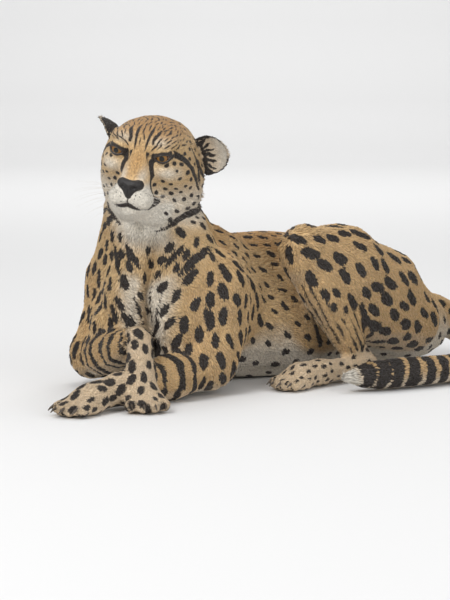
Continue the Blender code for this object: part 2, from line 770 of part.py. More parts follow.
def make_head(pieces):
    """The head, with seats for the eyes and the nose, and the ears on it."""
    head = grow("head", [*head_lobes(), *neck_lobes()], 0.0042, HEAD_TRIANGLES)
    carve(head, head_box(GAP / 2), "INTERSECT")
    for name, side in (("left", 1), ("right", -1)):
        ear = make_ear(side)
        pieces["ear_" + name] = carve(ear, swollen(head))
    nose = grow("nose", nose_lobes(), 0.0022, 150)
    pieces["nose"] = nose
    carve(head, swollen(nose))
    for name, side in (("left", 1), ("right", -1)):
        eye = make_eye(side)
        pieces["eye_" + name] = eye
        carve(head, swollen(eye))
    pieces["head"] = head


def make_body(pieces):
    """Neck, trunk, upper arms and thighs, parted from one blended body, clear of everything else."""
    lobes = [*trunk_lobes(), *neck_lobes(), *head_lobes()]
    for side in (1, -1):
        lobes += upper_arm_lobes(side) + thigh_lobes(side)
    whole = grow("whole", lobes, 0.009, BODY_TRIANGLES)
    carve(whole, head_box(-GAP / 2))
    carve(pieces["tail_root"], swollen(whole))
    limbs = [piece for name, piece in pieces.items() if name.startswith(("fore", "shank", "hind"))]
    for name, (frame, centre, radii) in ROOTS.items():
        pieces[name] = part_of(whole, name, lambda shift: hollow(frame, centre, radii, shift))
    pieces["neck"] = part_of(whole, "neck", neck_box)
    pieces["trunk"] = whole
    for limb in limbs:
        seat = swollen(limb)
        for name in ("upper_arm_left", "upper_arm_right", "thigh_left", "thigh_right", "trunk"):
            if touching(pieces[name], seat):
                carve(pieces[name], seat)


def build():
    pieces = {}
    make_head(pieces)
    pieces.update(make_lower_limbs())
    pieces.update(make_tail())
    make_body(pieces)
    for name in ("forepaw_left", "forepaw_right", "hind_foot_left", "hind_foot_right"):
        frame, toes, size = claw_places(name)
        seat = swollen(pieces[name])
        for number, toe in enumerate(toes, start=1):
            claw = carve(make_claw(frame, toe, size), seat)
            pieces["claw_%s_%d" % (name, number)] = claw
    for name, piece in pieces.items():
        if name.startswith("claw"):
            finish(piece, name, DARK_HORN, 0.35)
        elif name == "nose":
            finish(piece, name, NOSE_LEATHER, 0.45)
        elif name.startswith("eye"):
            finish(piece, name, AMBER, 0.1)
        else:
            finish(piece, name, TAWNY)
    for helper in list(workshop.objects):
        bpy.data.objects.remove(helper)
    bpy.data.collections.remove(workshop)


def clear_scene():
    for obj in list(bpy.data.objects):
        bpy.data.objects.remove(obj)


clear_scene()
cheetah = bpy.data.collections.new("cheetah")
workshop = bpy.data.collections.new("workshop")
workshop.hide_render = True
bpy.context.scene.collection.children.link(cheetah)
bpy.context.scene.collection.children.link(workshop)
build()
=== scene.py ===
import itertools
import math

import bmesh
import bpy
import numpy as np
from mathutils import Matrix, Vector
from mathutils.bvhtree import BVHTree
from mathutils.kdtree import KDTree


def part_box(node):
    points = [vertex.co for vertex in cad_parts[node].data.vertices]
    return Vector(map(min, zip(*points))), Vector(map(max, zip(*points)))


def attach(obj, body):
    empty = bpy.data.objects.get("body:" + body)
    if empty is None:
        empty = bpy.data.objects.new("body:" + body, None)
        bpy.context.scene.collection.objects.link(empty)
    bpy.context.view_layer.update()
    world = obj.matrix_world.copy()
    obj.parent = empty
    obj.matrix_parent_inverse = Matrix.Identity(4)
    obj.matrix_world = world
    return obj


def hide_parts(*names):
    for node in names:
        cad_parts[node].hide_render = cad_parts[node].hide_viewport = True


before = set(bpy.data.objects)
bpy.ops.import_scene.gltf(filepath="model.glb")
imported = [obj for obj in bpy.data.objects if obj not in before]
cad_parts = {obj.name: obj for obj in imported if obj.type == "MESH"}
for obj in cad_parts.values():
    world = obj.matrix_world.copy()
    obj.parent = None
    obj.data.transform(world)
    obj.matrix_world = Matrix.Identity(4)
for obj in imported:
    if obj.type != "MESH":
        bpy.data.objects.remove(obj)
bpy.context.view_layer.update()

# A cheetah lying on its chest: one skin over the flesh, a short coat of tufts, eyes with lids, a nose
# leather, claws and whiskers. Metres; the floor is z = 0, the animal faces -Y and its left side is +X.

rng = np.random.default_rng(11)

FLESH = [
    "head", "ear_left", "ear_right", "neck", "trunk",
    "upper_arm_left", "upper_arm_right", "forearm_left", "forearm_right", "forepaw_left", "forepaw_right",
    "thigh_left", "thigh_right", "shank_left", "shank_right", "hind_foot_left", "hind_foot_right",
    "tail_root", "tail_middle", "tail_tip",
]
EARS = ["ear_left", "ear_right"]
PAWS = ["forepaw_left", "forepaw_right", "hind_foot_left", "hind_foot_right"]
COAT_PIECES = {
    "coat_head": ["head"] + EARS,
    "coat_neck": ["neck"],
    "coat_trunk": ["trunk"],
    "coat_arms": ["upper_arm_left", "upper_arm_right", "forearm_left", "forearm_right"],
    "coat_paws": PAWS,
    "coat_legs": ["thigh_left", "thigh_right", "shank_left", "shank_right"],
    "coat_tail": ["tail_root", "tail_middle", "tail_tip"],
}
SKIN_GRAIN = 0.0033  # spacing of the skin's points on the body; the face's is a quarter of it
FLOOR_GAP = 0.0008
NOSE_SEAT = 0.0065  # how far the muzzle sinks behind the nose leather
EAR_SWELL = 0.0030  # keeps each side of a thin ear nearest to its own side of the solid

# For each region: how far the skin lies inside the solids, how much its facets are smoothed, the
# hair's length, and the spacing of the roots.
DEPTH, EASE, HAIR, ROOM = range(4)
COAT = {
    "head": (0.0022, 0.16, 0.0055, 0.00225), "ear": (0.0008, 0.05, 0.0060, 0.0024),
    "neck": (0.0060, 1.00, 0.0130, 0.0031), "trunk": (0.0048, 1.00, 0.0110, 0.0036),
    "upper": (0.0042, 1.00, 0.0105, 0.0035), "forearm": (0.0026, 0.55, 0.0088, 0.0030),
    "forepaw": (0.0026, 0.10, 0.0052, 0.0024), "thigh": (0.0042, 1.00, 0.0112, 0.0036),
    "shank": (0.0028, 0.60, 0.0088, 0.0030), "hind": (0.0020, 0.14, 0.0055, 0.0026),
    "tail": (0.0040, 0.50, 0.0118, 0.0031)}

TAWNY = (0.640, 0.365, 0.135)
BUFF = (0.790, 0.545, 0.270)
CREAM = (0.930, 0.870, 0.760)
SABLE = (0.014, 0.010, 0.008)
UMBER = (0.040, 0.024, 0.014)


def looked_up(table, name):
    """The value for a node's name, by the longest key that starts it."""
    keys = [key for key in table if name.startswith(key)]
    return table[max(keys, key=len)]


def by_region(table, region):
    """A table's value at each point of the skin."""
    return np.array([looked_up(table, name) for name in FLESH])[region]


def on(region, *names):
    """Which points lie on the named solids."""
    return np.isin(region, [FLESH.index(name) for name in names])


def unit(vectors):
    return vectors / np.maximum(np.linalg.norm(vectors, axis=-1, keepdims=True), 1e-12)


def flat_on(normals, ways):
    """The directions, laid flat on the surface."""
    return unit(ways - normals * (ways * normals).sum(axis=1, keepdims=True))


def ramp(low, high, values):
    """0 at the low value and 1 at the high one, with a smooth rise between; low may be the greater."""
    share = np.clip((values - low) / (high - low), 0.0, 1.0)
    return share * share * (3.0 - 2.0 * share)


def hump(values, width):
    """1 where the values are 0, falling smoothly to 0 about the width away."""
    return np.exp(-((values / width) ** 2))


def middle(name):
    low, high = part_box(name)
    return np.array((low + high) / 2)


# ---------------------------------------------------------------- smooth noise in space
LATTICE = rng.random((4096,)).astype(np.float32) * 2 - 1


def lattice_value(cell):
    code = (cell[:, 0] * 73856093) ^ (cell[:, 1] * 19349663) ^ (cell[:, 2] * 83492791)
    return LATTICE[code & 4095]


def mottle(points, size, shift=0.0):
    """Smooth noise from -1 to 1 at each point, with lumps about so big."""
    place = points / size + 100.0 + shift
    cell = np.floor(place).astype(np.int64)
    part = place - cell
    part = part * part * (3 - 2 * part)
    total = np.zeros(len(points))
    for corner in range(8):
        step = np.array([corner & 1, (corner >> 1) & 1, (corner >> 2) & 1])
        weight = np.prod(np.where(step, part, 1 - part), axis=1)
        total += weight * lattice_value(cell + step)
    return total


# ---------------------------------------------------------------- the head's own frame
# In this frame the eyes and nose are where the head's plan has them; -Y is forward and +Z is up.
EYE_PLAN = np.array([0.0360, -0.0530, 0.0390])
NOSE_PLAN = np.array([0.0, -0.0950, -0.0095])


def head_frame():
    left, right, nose = middle("eye_left"), middle("eye_right"), middle("nose")
    size = np.linalg.norm(left - right) / (2 * EYE_PLAN[0])
    x = unit(left - right)
    down = nose - (left + right) / 2
    down = unit(down - x * (down @ x))
    plan = unit(NOSE_PLAN - EYE_PLAN * [0, 1, 1])
    slope = math.atan2(plan[2], plan[1])
    y = down * math.cos(slope) - np.cross(x, down) * math.sin(slope)
    z = np.cross(x, y)
    origin = (left + right) / 2 - (y * EYE_PLAN[1] + z * EYE_PLAN[2]) * size
    return origin, np.stack([x, y, z]), size


HEAD_ORIGIN, HEAD_AXES, HEAD_SIZE = head_frame()


def to_head(points):
    return (points - HEAD_ORIGIN) @ HEAD_AXES.T / HEAD_SIZE


def from_head(local):
    return np.asarray(local) * HEAD_SIZE @ HEAD_AXES + HEAD_ORIGIN


# ---------------------------------------------------------------- mesh helpers
SAME_PLACE = 0.00001


def read_points(mesh):
    flat = np.empty(len(mesh.vertices) * 3, np.float32)
    mesh.vertices.foreach_get("co", flat)
    return flat.reshape(-1, 3).astype(float)


def write_points(mesh, points):
    mesh.vertices.foreach_set("co", np.asarray(points, np.float32).ravel())
    mesh.update()


def read_normals(mesh):
    flat = np.empty(len(mesh.vertices) * 3, np.float32)
    mesh.vertex_normals.foreach_get("vector", flat)
    return flat.reshape(-1, 3).astype(float)


def settled(bm, name):
    """Turns a working mesh into a plain one."""
    mesh = bpy.data.meshes.new(name)
    bm.to_mesh(mesh)
    bm.free()
    return mesh


def numbers_of(parts, size):
    """The numbers of the points at the corners of each edge or triangle."""
    flat = np.empty(len(parts) * size, np.int32)
    parts.foreach_get("vertices", flat)
    return flat.reshape(-1, size)


def new_piece(name, mesh):
    obj = bpy.data.objects.new(name, mesh)
    bpy.context.scene.collection.objects.link(obj)
    mesh.shade_smooth()
    return obj


def baked(obj):
    """Applies the object's modifiers."""
    graph = bpy.context.evaluated_depsgraph_get()
    mesh = bpy.data.meshes.new_from_object(obj.evaluated_get(graph))
    obj.modifiers.clear()
    obj.data = mesh
    return mesh


def rounded(node):
    """The node's mesh with its facets rounded by subdivision."""
    bm = bmesh.new()
    bm.from_mesh(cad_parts[node].data)
    bmesh.ops.remove_doubles(bm, verts=bm.verts, dist=SAME_PLACE)
    obj = new_piece("rounding", settled(bm, "rounding"))
    modifier = obj.modifiers.new("rounding", "SUBSURF")
    modifier.levels = 2
    mesh = baked(obj)
    bpy.data.objects.remove(obj)
    return mesh


def cast(name, nodes, swell, grain):
    """The nodes' solids, swollen a little so that they meet, as one closed mesh."""
    bm = bmesh.new()
    for node in nodes:
        bm.from_mesh(rounded(node) if node.startswith("ear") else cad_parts[node].data)
    bmesh.ops.remove_doubles(bm, verts=bm.verts, dist=SAME_PLACE)
    bm.normal_update()
    for vertex in bm.verts:
        vertex.co += vertex.normal * swell
    obj = new_piece(name, settled(bm, name))
    remesh = obj.modifiers.new("remesh", "REMESH")
    remesh.mode = "VOXEL"
    remesh.voxel_size = grain
    baked(obj)
    return obj


def surface_tree(mesh, points):
    return BVHTree.FromPolygons(points.tolist(), [list(face.vertices) for face in mesh.polygons])


def node_tree(node):
    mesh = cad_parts[node].data
    return surface_tree(mesh, read_points(mesh))


class Web:
    """The mesh's edges as arrays, for averaging over neighbours."""

    def __init__(self, mesh):
        pairs = numbers_of(mesh.edges, 2)
        self.ends = np.concatenate([pairs[:, 0], pairs[:, 1]])
        self.others = np.concatenate([pairs[:, 1], pairs[:, 0]])
        self.count = len(mesh.vertices)
        self.degree = np.maximum(np.bincount(self.ends, minlength=self.count), 1)

    def mean(self, values):
        if values.ndim == 1:
            return np.bincount(self.ends, values[self.others], self.count) / self.degree
        return np.stack([self.mean(values[:, i]) for i in range(values.shape[1])], axis=1)

    def spread(self, values, rounds, share=0.6):
        for _ in range(rounds):
            values = values + (self.mean(values) - values) * share
        return values


def eased(points, web, weight, rounds):
    """Smooths facets away, giving back after each round the shrinking that smoothing brings."""
    weight = weight[:, None]
    for _ in range(rounds):
        points = points + (web.mean(points) - points) * 0.55 * weight
        points = points - (web.mean(points) - points) * 0.565 * weight
    return points


# ---------------------------------------------------------------- regions
def softened(points, region, web):
    """Rounds the steps where the body's solids meet, but leaves the head and the thin ears alone."""
    seam = (np.abs(region[web.ends] - region[web.others]) > 0).astype(float)
    seam = np.minimum(np.bincount(web.ends, seam, web.count), 1.0)
    body = ~on(region, *COAT_PIECES["coat_head"])
    weight = web.spread(seam * body, 14) * 2.4 * np.where(on(region, *PAWS), 0.6, 1.0) * body
    weight = np.clip(weight, 0, 1)[:, None]
    for _ in range(34):
        points = points + (web.mean(points) - points) * 0.6 * weight
    return points


def region_of(points):
    """For each point, the number in FLESH of the solid it lies nearest to."""
    verts, faces, owner = [], [], []
    for number, name in enumerate(FLESH):
        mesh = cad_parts[name].data
        start = len(verts)
        verts += [tuple(vertex.co) for vertex in mesh.vertices]
        for polygon in mesh.polygons:
            faces.append([start + index for index in polygon.vertices])
            owner.append(number)
    tree = BVHTree.FromPolygons(verts, faces)
    return np.array([owner[tree.find_nearest(point)[2]] for point in points.tolist()])


def refine(obj, chosen, cuts):
    """Splits the faces whose points are all chosen into smaller ones."""
    bm = bmesh.new()
    bm.from_mesh(obj.data)
    bm.verts.ensure_lookup_table()
    faces = [face for face in bm.faces if all(chosen[vertex.index] for vertex in face.verts)]
    edges = list({edge for face in faces for edge in face.edges})
    bmesh.ops.subdivide_edges(bm, edges=edges, cuts=cuts, use_grid_fill=True)
    bmesh.ops.triangulate(bm, faces=[face for face in bm.faces if len(face.verts) > 4])
    bm.to_mesh(obj.data)
    bm.free()
    obj.data.update()


# ---------------------------------------------------------------- the face
EYE_RADIUS = (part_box("eye_left")[1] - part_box("eye_left")[0]).z / 2
LID_DEPTH = 0.0015
LID_TILT = math.radians(13)  # the outer corner stands higher than the inner one
LID_HALF_WIDTH = 0.88  # of the opening, as an angle at the eye's centre
LID_RIM = 0.00125  # radius of the dark rim
BREAST_SHIFT = 0.030  # how far the breast's crease lies to the left of the middle between the arms


def eye_frame(side):
    """Centre of the eye, and the outward, upward and forward directions round it."""
    centre = middle("eye_left" if side > 0 else "eye_right")
    forward = unit(np.array([side * 0.24, -1.0, -0.04]) @ HEAD_AXES)
    up = unit(HEAD_AXES[2] - forward * (HEAD_AXES[2] @ forward))
    out = np.cross(up, forward)
    return centre, out * np.sign(out @ HEAD_AXES[0]) * side, up, forward


def lid_reach(along):
    """Height of the upper lid's edge and depth of the lower one's, as angles, at a share of the width."""
    bow = np.clip(1.0 - along * along, 0.0, 1.0)
    return 0.33 * bow**0.65, 0.44 * bow**0.80


def eye_angles(points, side):
    """Where points lie about an eye: across the opening and up it as angles, among other things."""
    centre, out, up, forward = eye_frame(side)
    away = points - centre
    reach = np.linalg.norm(away, axis=1)
    facing = away @ forward / np.maximum(reach, 1e-9)
    across = np.arctan2(away @ out, away @ forward)
    rise = np.arcsin(np.clip(away @ up / np.maximum(reach, 1e-9), -1, 1))
    turned = across * math.cos(LID_TILT) + rise * math.sin(LID_TILT)
    raised = rise * math.cos(LID_TILT) - across * math.sin(LID_TILT)
    return centre, away, reach, facing, turned, raised


def lid_gap(turned, raised):
    """Negative inside the open eye, growing outwards, in radians."""
    upper, lower = lid_reach(turned / LID_HALF_WIDTH)
    gap = np.maximum(raised - upper, -lower - raised)
    return np.where(np.abs(turned) > LID_HALF_WIDTH, np.maximum(gap, np.abs(turned) - LID_HALF_WIDTH), gap)


def with_lids(points):
    """Wraps the skin over the eyeballs and opens it between the lids."""
    for side in (1, -1):
        centre, away, reach, facing, turned, raised = eye_angles(points, side)
        near = (facing > -0.55) & (reach < EYE_RADIUS * 2.2)
        gap = lid_gap(turned, raised)
        bulge = EYE_RADIUS + LID_DEPTH + 0.0006 * hump(gap - 0.10, 0.08)
        shell = np.where(near & (reach < bulge), bulge, reach)
        # A shallow fold runs round outside the lids.
        fold = 0.0012 * hump(gap - 0.34, 0.07)
        shell = np.where(near & (reach < EYE_RADIUS * 1.6), shell - fold, shell)
        shell = np.where(near & (facing > 0.05) & (gap < 0), EYE_RADIUS - 0.0030, shell)
        points = centre + away * (shell / np.maximum(reach, 1e-9))[:, None]
    return points


def distance_to_line(points, line):
    """Distance from each point to a line of straight lengths, and how far along it the nearest place is."""
    line = np.asarray(line, float)
    lengths = np.linalg.norm(np.diff(line, axis=0), axis=1)
    best = np.full(len(points), 1e9)
    along = np.zeros(len(points))
    done = 0.0
    for start, end, length in zip(line, line[1:], lengths):
        axis = end - start
        share = np.clip((points - start) @ axis / max(length * length, 1e-12), 0, 1)
        away = np.linalg.norm(points - start - share[:, None] * axis, axis=1)
        closer = away < best
        best = np.where(closer, away, best)
        along = np.where(closer, (done + share * length), along)
        done += length
    return best, along / max(lengths.sum(), 1e-9)


MOUTH = [(0.000, -0.100, -0.0385), (0.010, -0.099, -0.0420), (0.020, -0.093, -0.0455),
         (0.028, -0.081, -0.0465), (0.034, -0.066, -0.0435), (0.038, -0.050, -0.0375)]
PHILTRUM = [(0.0, -0.108, -0.0200), (0.0, -0.105, -0.0300), (0.0, -0.101, -0.0385)]
PHILTRUM_WIDTH = 0.0024
TEAR = [(0.0225, -0.062, 0.0370), (0.0220, -0.068, 0.0280), (0.0250, -0.070, 0.0160),
        (0.0300, -0.070, 0.0030), (0.0350, -0.069, -0.0090), (0.0385, -0.065, -0.0200),
        (0.0400, -0.059, -0.0300), (0.0395, -0.053, -0.0370)]
JAW = [(0.0790, 0.036, -0.0120), (0.0770, 0.030, -0.0360), (0.0680, 0.018, -0.0600),
       (0.0540, 0.004, -0.0780), (0.0360, -0.014, -0.0880), (0.0180, -0.030, -0.0880),
       (0.0000, -0.040, -0.0860)]
# The left side's swellings and hollows of the face: place, size and height.
FACE_FORMS = [
    ((0.0200, -0.092, -0.0290), (0.0120, 0.016, 0.0100), 0.0036),  # whisker pad
    ((0.0350, -0.057, 0.0600), (0.0200, 0.016, 0.0075), 0.0022),  # brow
    ((0.0440, -0.048, 0.0150), (0.0150, 0.016, 0.0080), 0.0014),  # pouch below the eye
    ((0.0185, -0.064, 0.0330), (0.0060, 0.012, 0.0120), -0.0030),  # inner corner of the eye
    ((0.0340, -0.060, -0.0020), (0.0110, 0.014, 0.0120), -0.0020),  # hollow beside the muzzle
]


def mirrored(line, side):
    return [(x * side, y, z) for x, y, z in line]


def laid_on(surface, line):
    """The line, given in the head's frame, split finely and laid on the skin."""
    line = np.array(line)
    dense = [start + (end - start) * share for start, end in zip(line, line[1:])
             for share in np.linspace(0, 1, 8, endpoint=False)]
    places = from_head(np.array(dense + [line[-1]]))
    return np.array([surface.find_nearest(Vector(place))[0] for place in places])


def with_features(points, normals, amount, surface):
    """Presses and raises the muzzle, mouth, brows and cheeks; amount is 1 on the head and 0 off it."""
    local = to_head(points)
    raised = np.zeros(len(points))
    for side in (1, -1):
        for (x, y, z), size, height in FACE_FORMS:
            raised += height * around(local, (x * side, y, z), size)
        raised -= 0.0036 * hump(distance_to_line(local, mirrored(MOUTH, side))[0], 0.0021)
    raised -= 0.0030 * hump(distance_to_line(local, PHILTRUM)[0], 0.0017)
    raised += 0.0024 * around(local, (0, -0.084, -0.0530), (0.014, 0.012, 0.008))
    raised *= amount
    # The cheeks' ruff stands over a groove that parts the head from the neck.
    above = ramp(-0.2, 0.9, local[:, 2] / 0.05 + 1.2)
    for side in (1, -1):
        away = distance_to_line(points, laid_on(surface, mirrored(JAW, side)))[0]
        raised += 0.0034 * above * hump(away - 0.018, 0.010) * amount - 0.0070 * hump(away, 0.0095)
    return points + normals * (raised * HEAD_SIZE)[:, None]


def breast_frame():
    """The middle between the upper arms, the direction to the left arm, and straight ahead."""
    left, right = middle("upper_arm_left"), middle("upper_arm_right")
    across = unit((left - right) * [1, 1, 0])
    return (left + right) / 2, across, np.array([across[1], -across[0], 0.0])


def breast_side(points):
    """How far each point lies to the left of the breast's crease."""
    centre, across, _ = breast_frame()
    return (points - centre) @ across - BREAST_SHIFT


def across_neck(points, local):
    """Distance from the throat's middle line, which turns with the head higher up."""
    turn = ramp(0.230, 0.330, points[:, 2])
    return np.abs(breast_side(points) * (1 - turn) + local[:, 0] * HEAD_SIZE * turn)


def with_folds(points, normals):
    """The crease down the breast between the two arms."""
    ahead = breast_frame()[2]
    reach = breast_side(points)
    height = points[:, 2]
    window = ramp(0.2, 0.7, normals @ ahead) * ramp(0.040, 0.075, height) * ramp(0.285, 0.225, height)
    raised = 0.0040 * hump(np.abs(reach) - 0.048, 0.020)
    raised -= 0.0190 * hump(reach, 0.0085) + 0.0090 * hump(reach, 0.026)
    return points + normals * (raised * window)[:, None]


# ---------------------------------------------------------------- the skin
def fitted_ears(points, swollen, region, web):
    """Draws the thin ears back onto the rounded solids, which smoothing has shrunk them from."""
    for name in EARS:
        mesh = rounded(name)
        bowl = surface_tree(mesh, read_points(mesh))
        share = web.spread(on(region, name).astype(float), 6)
        for index in np.nonzero(share > 0.05)[0].tolist():
            nearest = np.array(bowl.find_nearest(Vector(swollen[index]))[0])
            points[index] += (nearest - points[index]) * share[index]
        points = eased(points, web, share * 0.9, rounds=8)
    return points


def sunk_muzzle(points):
    """Sinks the muzzle behind the nose leather, which then sits in it."""
    seat = node_tree("nose")
    local = to_head(points)
    front = np.nonzero((local[:, 1] < -0.075) & (np.abs(local[:, 0]) < 0.028))[0]
    covered = np.zeros(len(points))
    for index in front.tolist():
        nearest, outward, _, away = seat.find_nearest(Vector(points[index]))
        covered[index] = (Vector(points[index]) - nearest) @ outward < -0.0004 and away < 0.008
    return points + HEAD_AXES[1] * (NOSE_SEAT * covered)[:, None]


def make_skin():
    """The one skin over all the flesh, with its points, normals, regions and web."""
    skin = cast("skin", FLESH + ["eye_left", "eye_right", "nose"], swell=0.0006, grain=SKIN_GRAIN)
    points = read_points(skin.data)
    region = region_of(points)
    web = Web(skin.data)
    ease = web.spread(by_region(COAT, region)[:, EASE], 12)
    points = softened(eased(points, web, ease, rounds=70), region, web)
    write_points(skin.data, points)

    # Finer facets for the face, and then for the ears, whose points keep their numbers.
    local = to_head(points)
    ears = on(region, *EARS)
    refine(skin, on(region, "head") & (local[:, 1] < 0.0) & (local[:, 2] > -0.07), cuts=3)
    refine(skin, np.concatenate([ears, np.zeros(len(skin.data.vertices) - len(ears), bool)]), cuts=2)
    points = read_points(skin.data)
    region = region_of(points)
    web = Web(skin.data)
    points = fitted_ears(points, points + read_normals(skin.data) * EAR_SWELL, region, web)
    face = on(region, "head") & (to_head(points)[:, 1] < -0.005)
    points = eased(points, web, web.spread(face.astype(float), 4) * 0.9, rounds=14)

    # The skin goes in by the depth of the coat, and takes its features.
    depth = web.spread(by_region(COAT, region)[:, DEPTH], 60)
    write_points(skin.data, points)
    points = points - unit(web.spread(read_normals(skin.data), 3)) * depth[:, None]
    write_points(skin.data, points)
    points = sunk_muzzle(points)
    head = web.spread(on(region, "head").astype(float), 10)
    points = with_features(points, read_normals(skin.data), head, surface_tree(skin.data, points))
    points = with_lids(points)
    write_points(skin.data, points)
    points = with_folds(points, web.spread(read_normals(skin.data), 4))
    points[:, 2] = np.maximum(points[:, 2], FLOOR_GAP)
    write_points(skin.data, points)
    return skin, read_points(skin.data), read_normals(skin.data), region, web


# ---------------------------------------------------------------- the lie of the coat
def axis_of(name, towards):
    """The long direction of a node, pointing towards another one."""
    points = read_points(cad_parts[name].data)
    main = np.linalg.svd(points - points.mean(axis=0), full_matrices=False)[2][0]
    return main if main @ (middle(towards) - points.mean(axis=0)) > 0 else -main


TAIL_STEP = 0.022
TAIL_REACH = 0.036  # a little over the tail's radius


def tail_line():
    """The middle of the tail from its root to its tip, found by walking along it."""
    cloud = np.concatenate([read_points(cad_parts[name].data) for name in COAT_PIECES["coat_tail"]])
    place = read_points(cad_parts["tail_root"].data)
    place = place[np.argsort(np.linalg.norm(place - middle("trunk"), axis=1))[:30]].mean(axis=0)
    line, heading = [place], unit(middle("tail_root") - place)
    for _ in range(60):
        ahead = line[-1] + heading * TAIL_STEP
        near = cloud[np.linalg.norm(cloud - ahead, axis=1) < TAIL_REACH]
        near = near[(near - line[-1]) @ heading > 0.004]
        if len(near) < 6:
            break
        place = 0.5 * near.mean(axis=0) + 0.25 * (near.min(axis=0) + near.max(axis=0))
        step = place - line[-1]
        if np.linalg.norm(step) < 0.006:
            break
        heading = unit(heading * 0.5 + unit(step) * 0.5)
        line.append(place)
    line.append(line[-1] + heading * 0.02)
    return np.array(line)


TAIL = tail_line()


def along_tail(points):
    """How far along the tail each point lies, and the tail's direction there."""
    away = np.linalg.norm(points[:, None, :] - TAIL[None, 1:-1, :], axis=2)
    nearest = away.argmin(axis=1) + 1
    heading = unit(TAIL[nearest + 1] - TAIL[nearest - 1])
    steps = np.linalg.norm(np.diff(TAIL, axis=0), axis=1)
    done = np.concatenate([[0], np.cumsum(steps)])
    reach = done[nearest] + ((points - TAIL[nearest]) * heading).sum(axis=1)
    return reach / done[-1], heading


STRAIGHT_LIE = {"trunk": (0.0, 0.86, -0.51), "upper": (0.0, 0.42, -0.90), "thigh": (0.0, 0.74, -0.67)}


def lie_of_coat(points, normals, region, web):
    """The direction in which the hair lies at each point of the skin."""
    local = to_head(points)
    muzzle = unit(local - np.array([0.0, -0.100, 0.000])) + np.array([0, 0.10, -0.10])
    lie = np.zeros_like(points)
    tail_heading = along_tail(points)[1]
    for number, name in enumerate(FLESH):
        here = region == number
        side = "left" if name.endswith("left") else "right"
        if name == "head":
            lie[here] = muzzle[here] @ HEAD_AXES
        elif name.startswith("ear"):
            lie[here] = unit(middle(name) - HEAD_ORIGIN)
        elif name == "neck":
            lie[here] = unit(points[here] - HEAD_ORIGIN)
        elif name.startswith(tuple(STRAIGHT_LIE)):
            lie[here] = looked_up(STRAIGHT_LIE, name)
        elif name.startswith("forearm"):
            lie[here] = axis_of(name, "forepaw_" + side)
        elif name.startswith("forepaw"):
            lie[here] = unit(middle(name) - middle("forearm_" + side)) + axis_of(name, "claw_%s_2" % name)
        elif name.startswith("shank"):
            lie[here] = axis_of(name, "hind_foot_" + side) + np.array([0, 0.2, -0.6])
        elif name.startswith("hind"):
            lie[here] = axis_of(name, "claw_%s_2" % name)
        else:
            lie[here] = tail_heading[here]
    lie = web.spread(unit(lie), 25)
    return unit(web.spread(flat_on(normals, lie), 6))


# ---------------------------------------------------------------- markings, and painted shade in folds and hollows
EDGE_REACH = 0.02  # the farthest from a dark mark's edge that the painted field tells

# Spacing of the spots, their size as a share of it, and how much longer than wide they are.
SPOTS = {
    "head": (0.0155, 0.27, 1.3), "neck": (0.0235, 0.345, 1.7), "trunk": (0.0255, 0.265, 2.1),
    "upper": (0.0300, 0.380, 1.9), "forearm": (0.0190, 0.0, 1.5), "forepaw": (0.0230, 0.40, 1.7),
    "thigh": (0.0335, 0.395, 1.9), "shank": (0.0250, 0.34, 1.7), "hind": (0.0175, 0.30, 1.8),
    "tail": (0.0250, 0.32, 1.25), "ear": (0.05, 0.0, 1.0)}
RINGS = [(0.0350, 0.0095), (0.0630, 0.0125), (0.0970, 0.0130), (0.1320, 0.0125), (0.1660, 0.0110),
         (0.1980, 0.0095), (0.2280, 0.0075)]  # distance from the tail's end, half width
TAIL_WHITE = 0.0250  # length of the white end
SHANK_STREAKS = 16  # round the whole shank
DOT_RADIUS = 0.0009  # of the dark dots at the whiskers' roots
CLEAR_OF_LINES = {"head": 0.0050, "body": 0.0075}  # how far the middles of spots keep from them


def around(local, centre, radii):
    """1 at the centre, falling smoothly to 0 about the radii away."""
    away = (local - np.array(centre)) / np.array(radii)
    return np.exp(-(away * away).sum(axis=1))


def below_knee(points):
    """Which points lie where the belly shows below the raised left knee."""
    return (points < [0.130, 0.045, 0.180]).all(axis=1)


def spot_plan(points, normals, region, local, web):
    """Spacing, share and stretch of the spots at each point."""
    plan = by_region(SPOTS, region)
    folded = np.column_stack([np.abs(local[:, 0]), local[:, 1:]])
    beside, behind, up = folded.T
    head, trunk = on(region, "head"), on(region, "trunk")
    flank = on(region, "thigh_left") & below_knee(points)
    plan[flank, :2] = SPOTS["trunk"][:2]
    trunk |= flank
    low = trunk & (points[:, 2] < 0.085)
    plan[low] = plan[low] * (1.22, 0.90, 0.0) + (0.0, 0.0, 1.3)
    plan[trunk & (normals[:, 1] < -0.35) & (points[:, 1] < -0.12)] = (0.0285, 0.38, 2.2)
    plan[on(region, *PAWS) & (points[:, 2] < 0.030), 0] *= 0.8
    neck_side = head & (up < -0.072)
    plan[neck_side] = SPOTS["neck"]
    hairline = 0.052 - 0.018 * ramp(0.030, 0.018, beside)
    plan[head & (up > hairline) & (behind < 0.02)] = (0.0100, 0.32, 6.0)
    plan[head & (behind > 0.02) & (up > -0.03), :2] = (0.0155, 0.25)

    # Parts with no spots: the throat, the jaw's underside, the muzzle and the pouch below each eye.
    bare = (on(region, "neck") | neck_side) & (normals[:, 1] < 0.1)
    bare &= across_neck(points, local) + mottle(points, 0.020, 4.0) * 0.014 < 0.044
    bare &= points[:, 2] + mottle(points, 0.024, 6.0) * 0.012 > 0.262
    bare |= head & (up < -0.036) & (beside + mottle(points, 0.016, 2.0) * 0.010 < 0.052)
    pouch = around(folded, (0.044, -0.046, 0.012), (0.016, 0.03, 0.014)) > 0.35
    bare |= head & ((behind < -0.060) | pouch)
    plan[bare, 1] = 0.0
    spacing, share, stretch = plan.T
    return web.spread(spacing, 10), share, web.spread(stretch, 4)


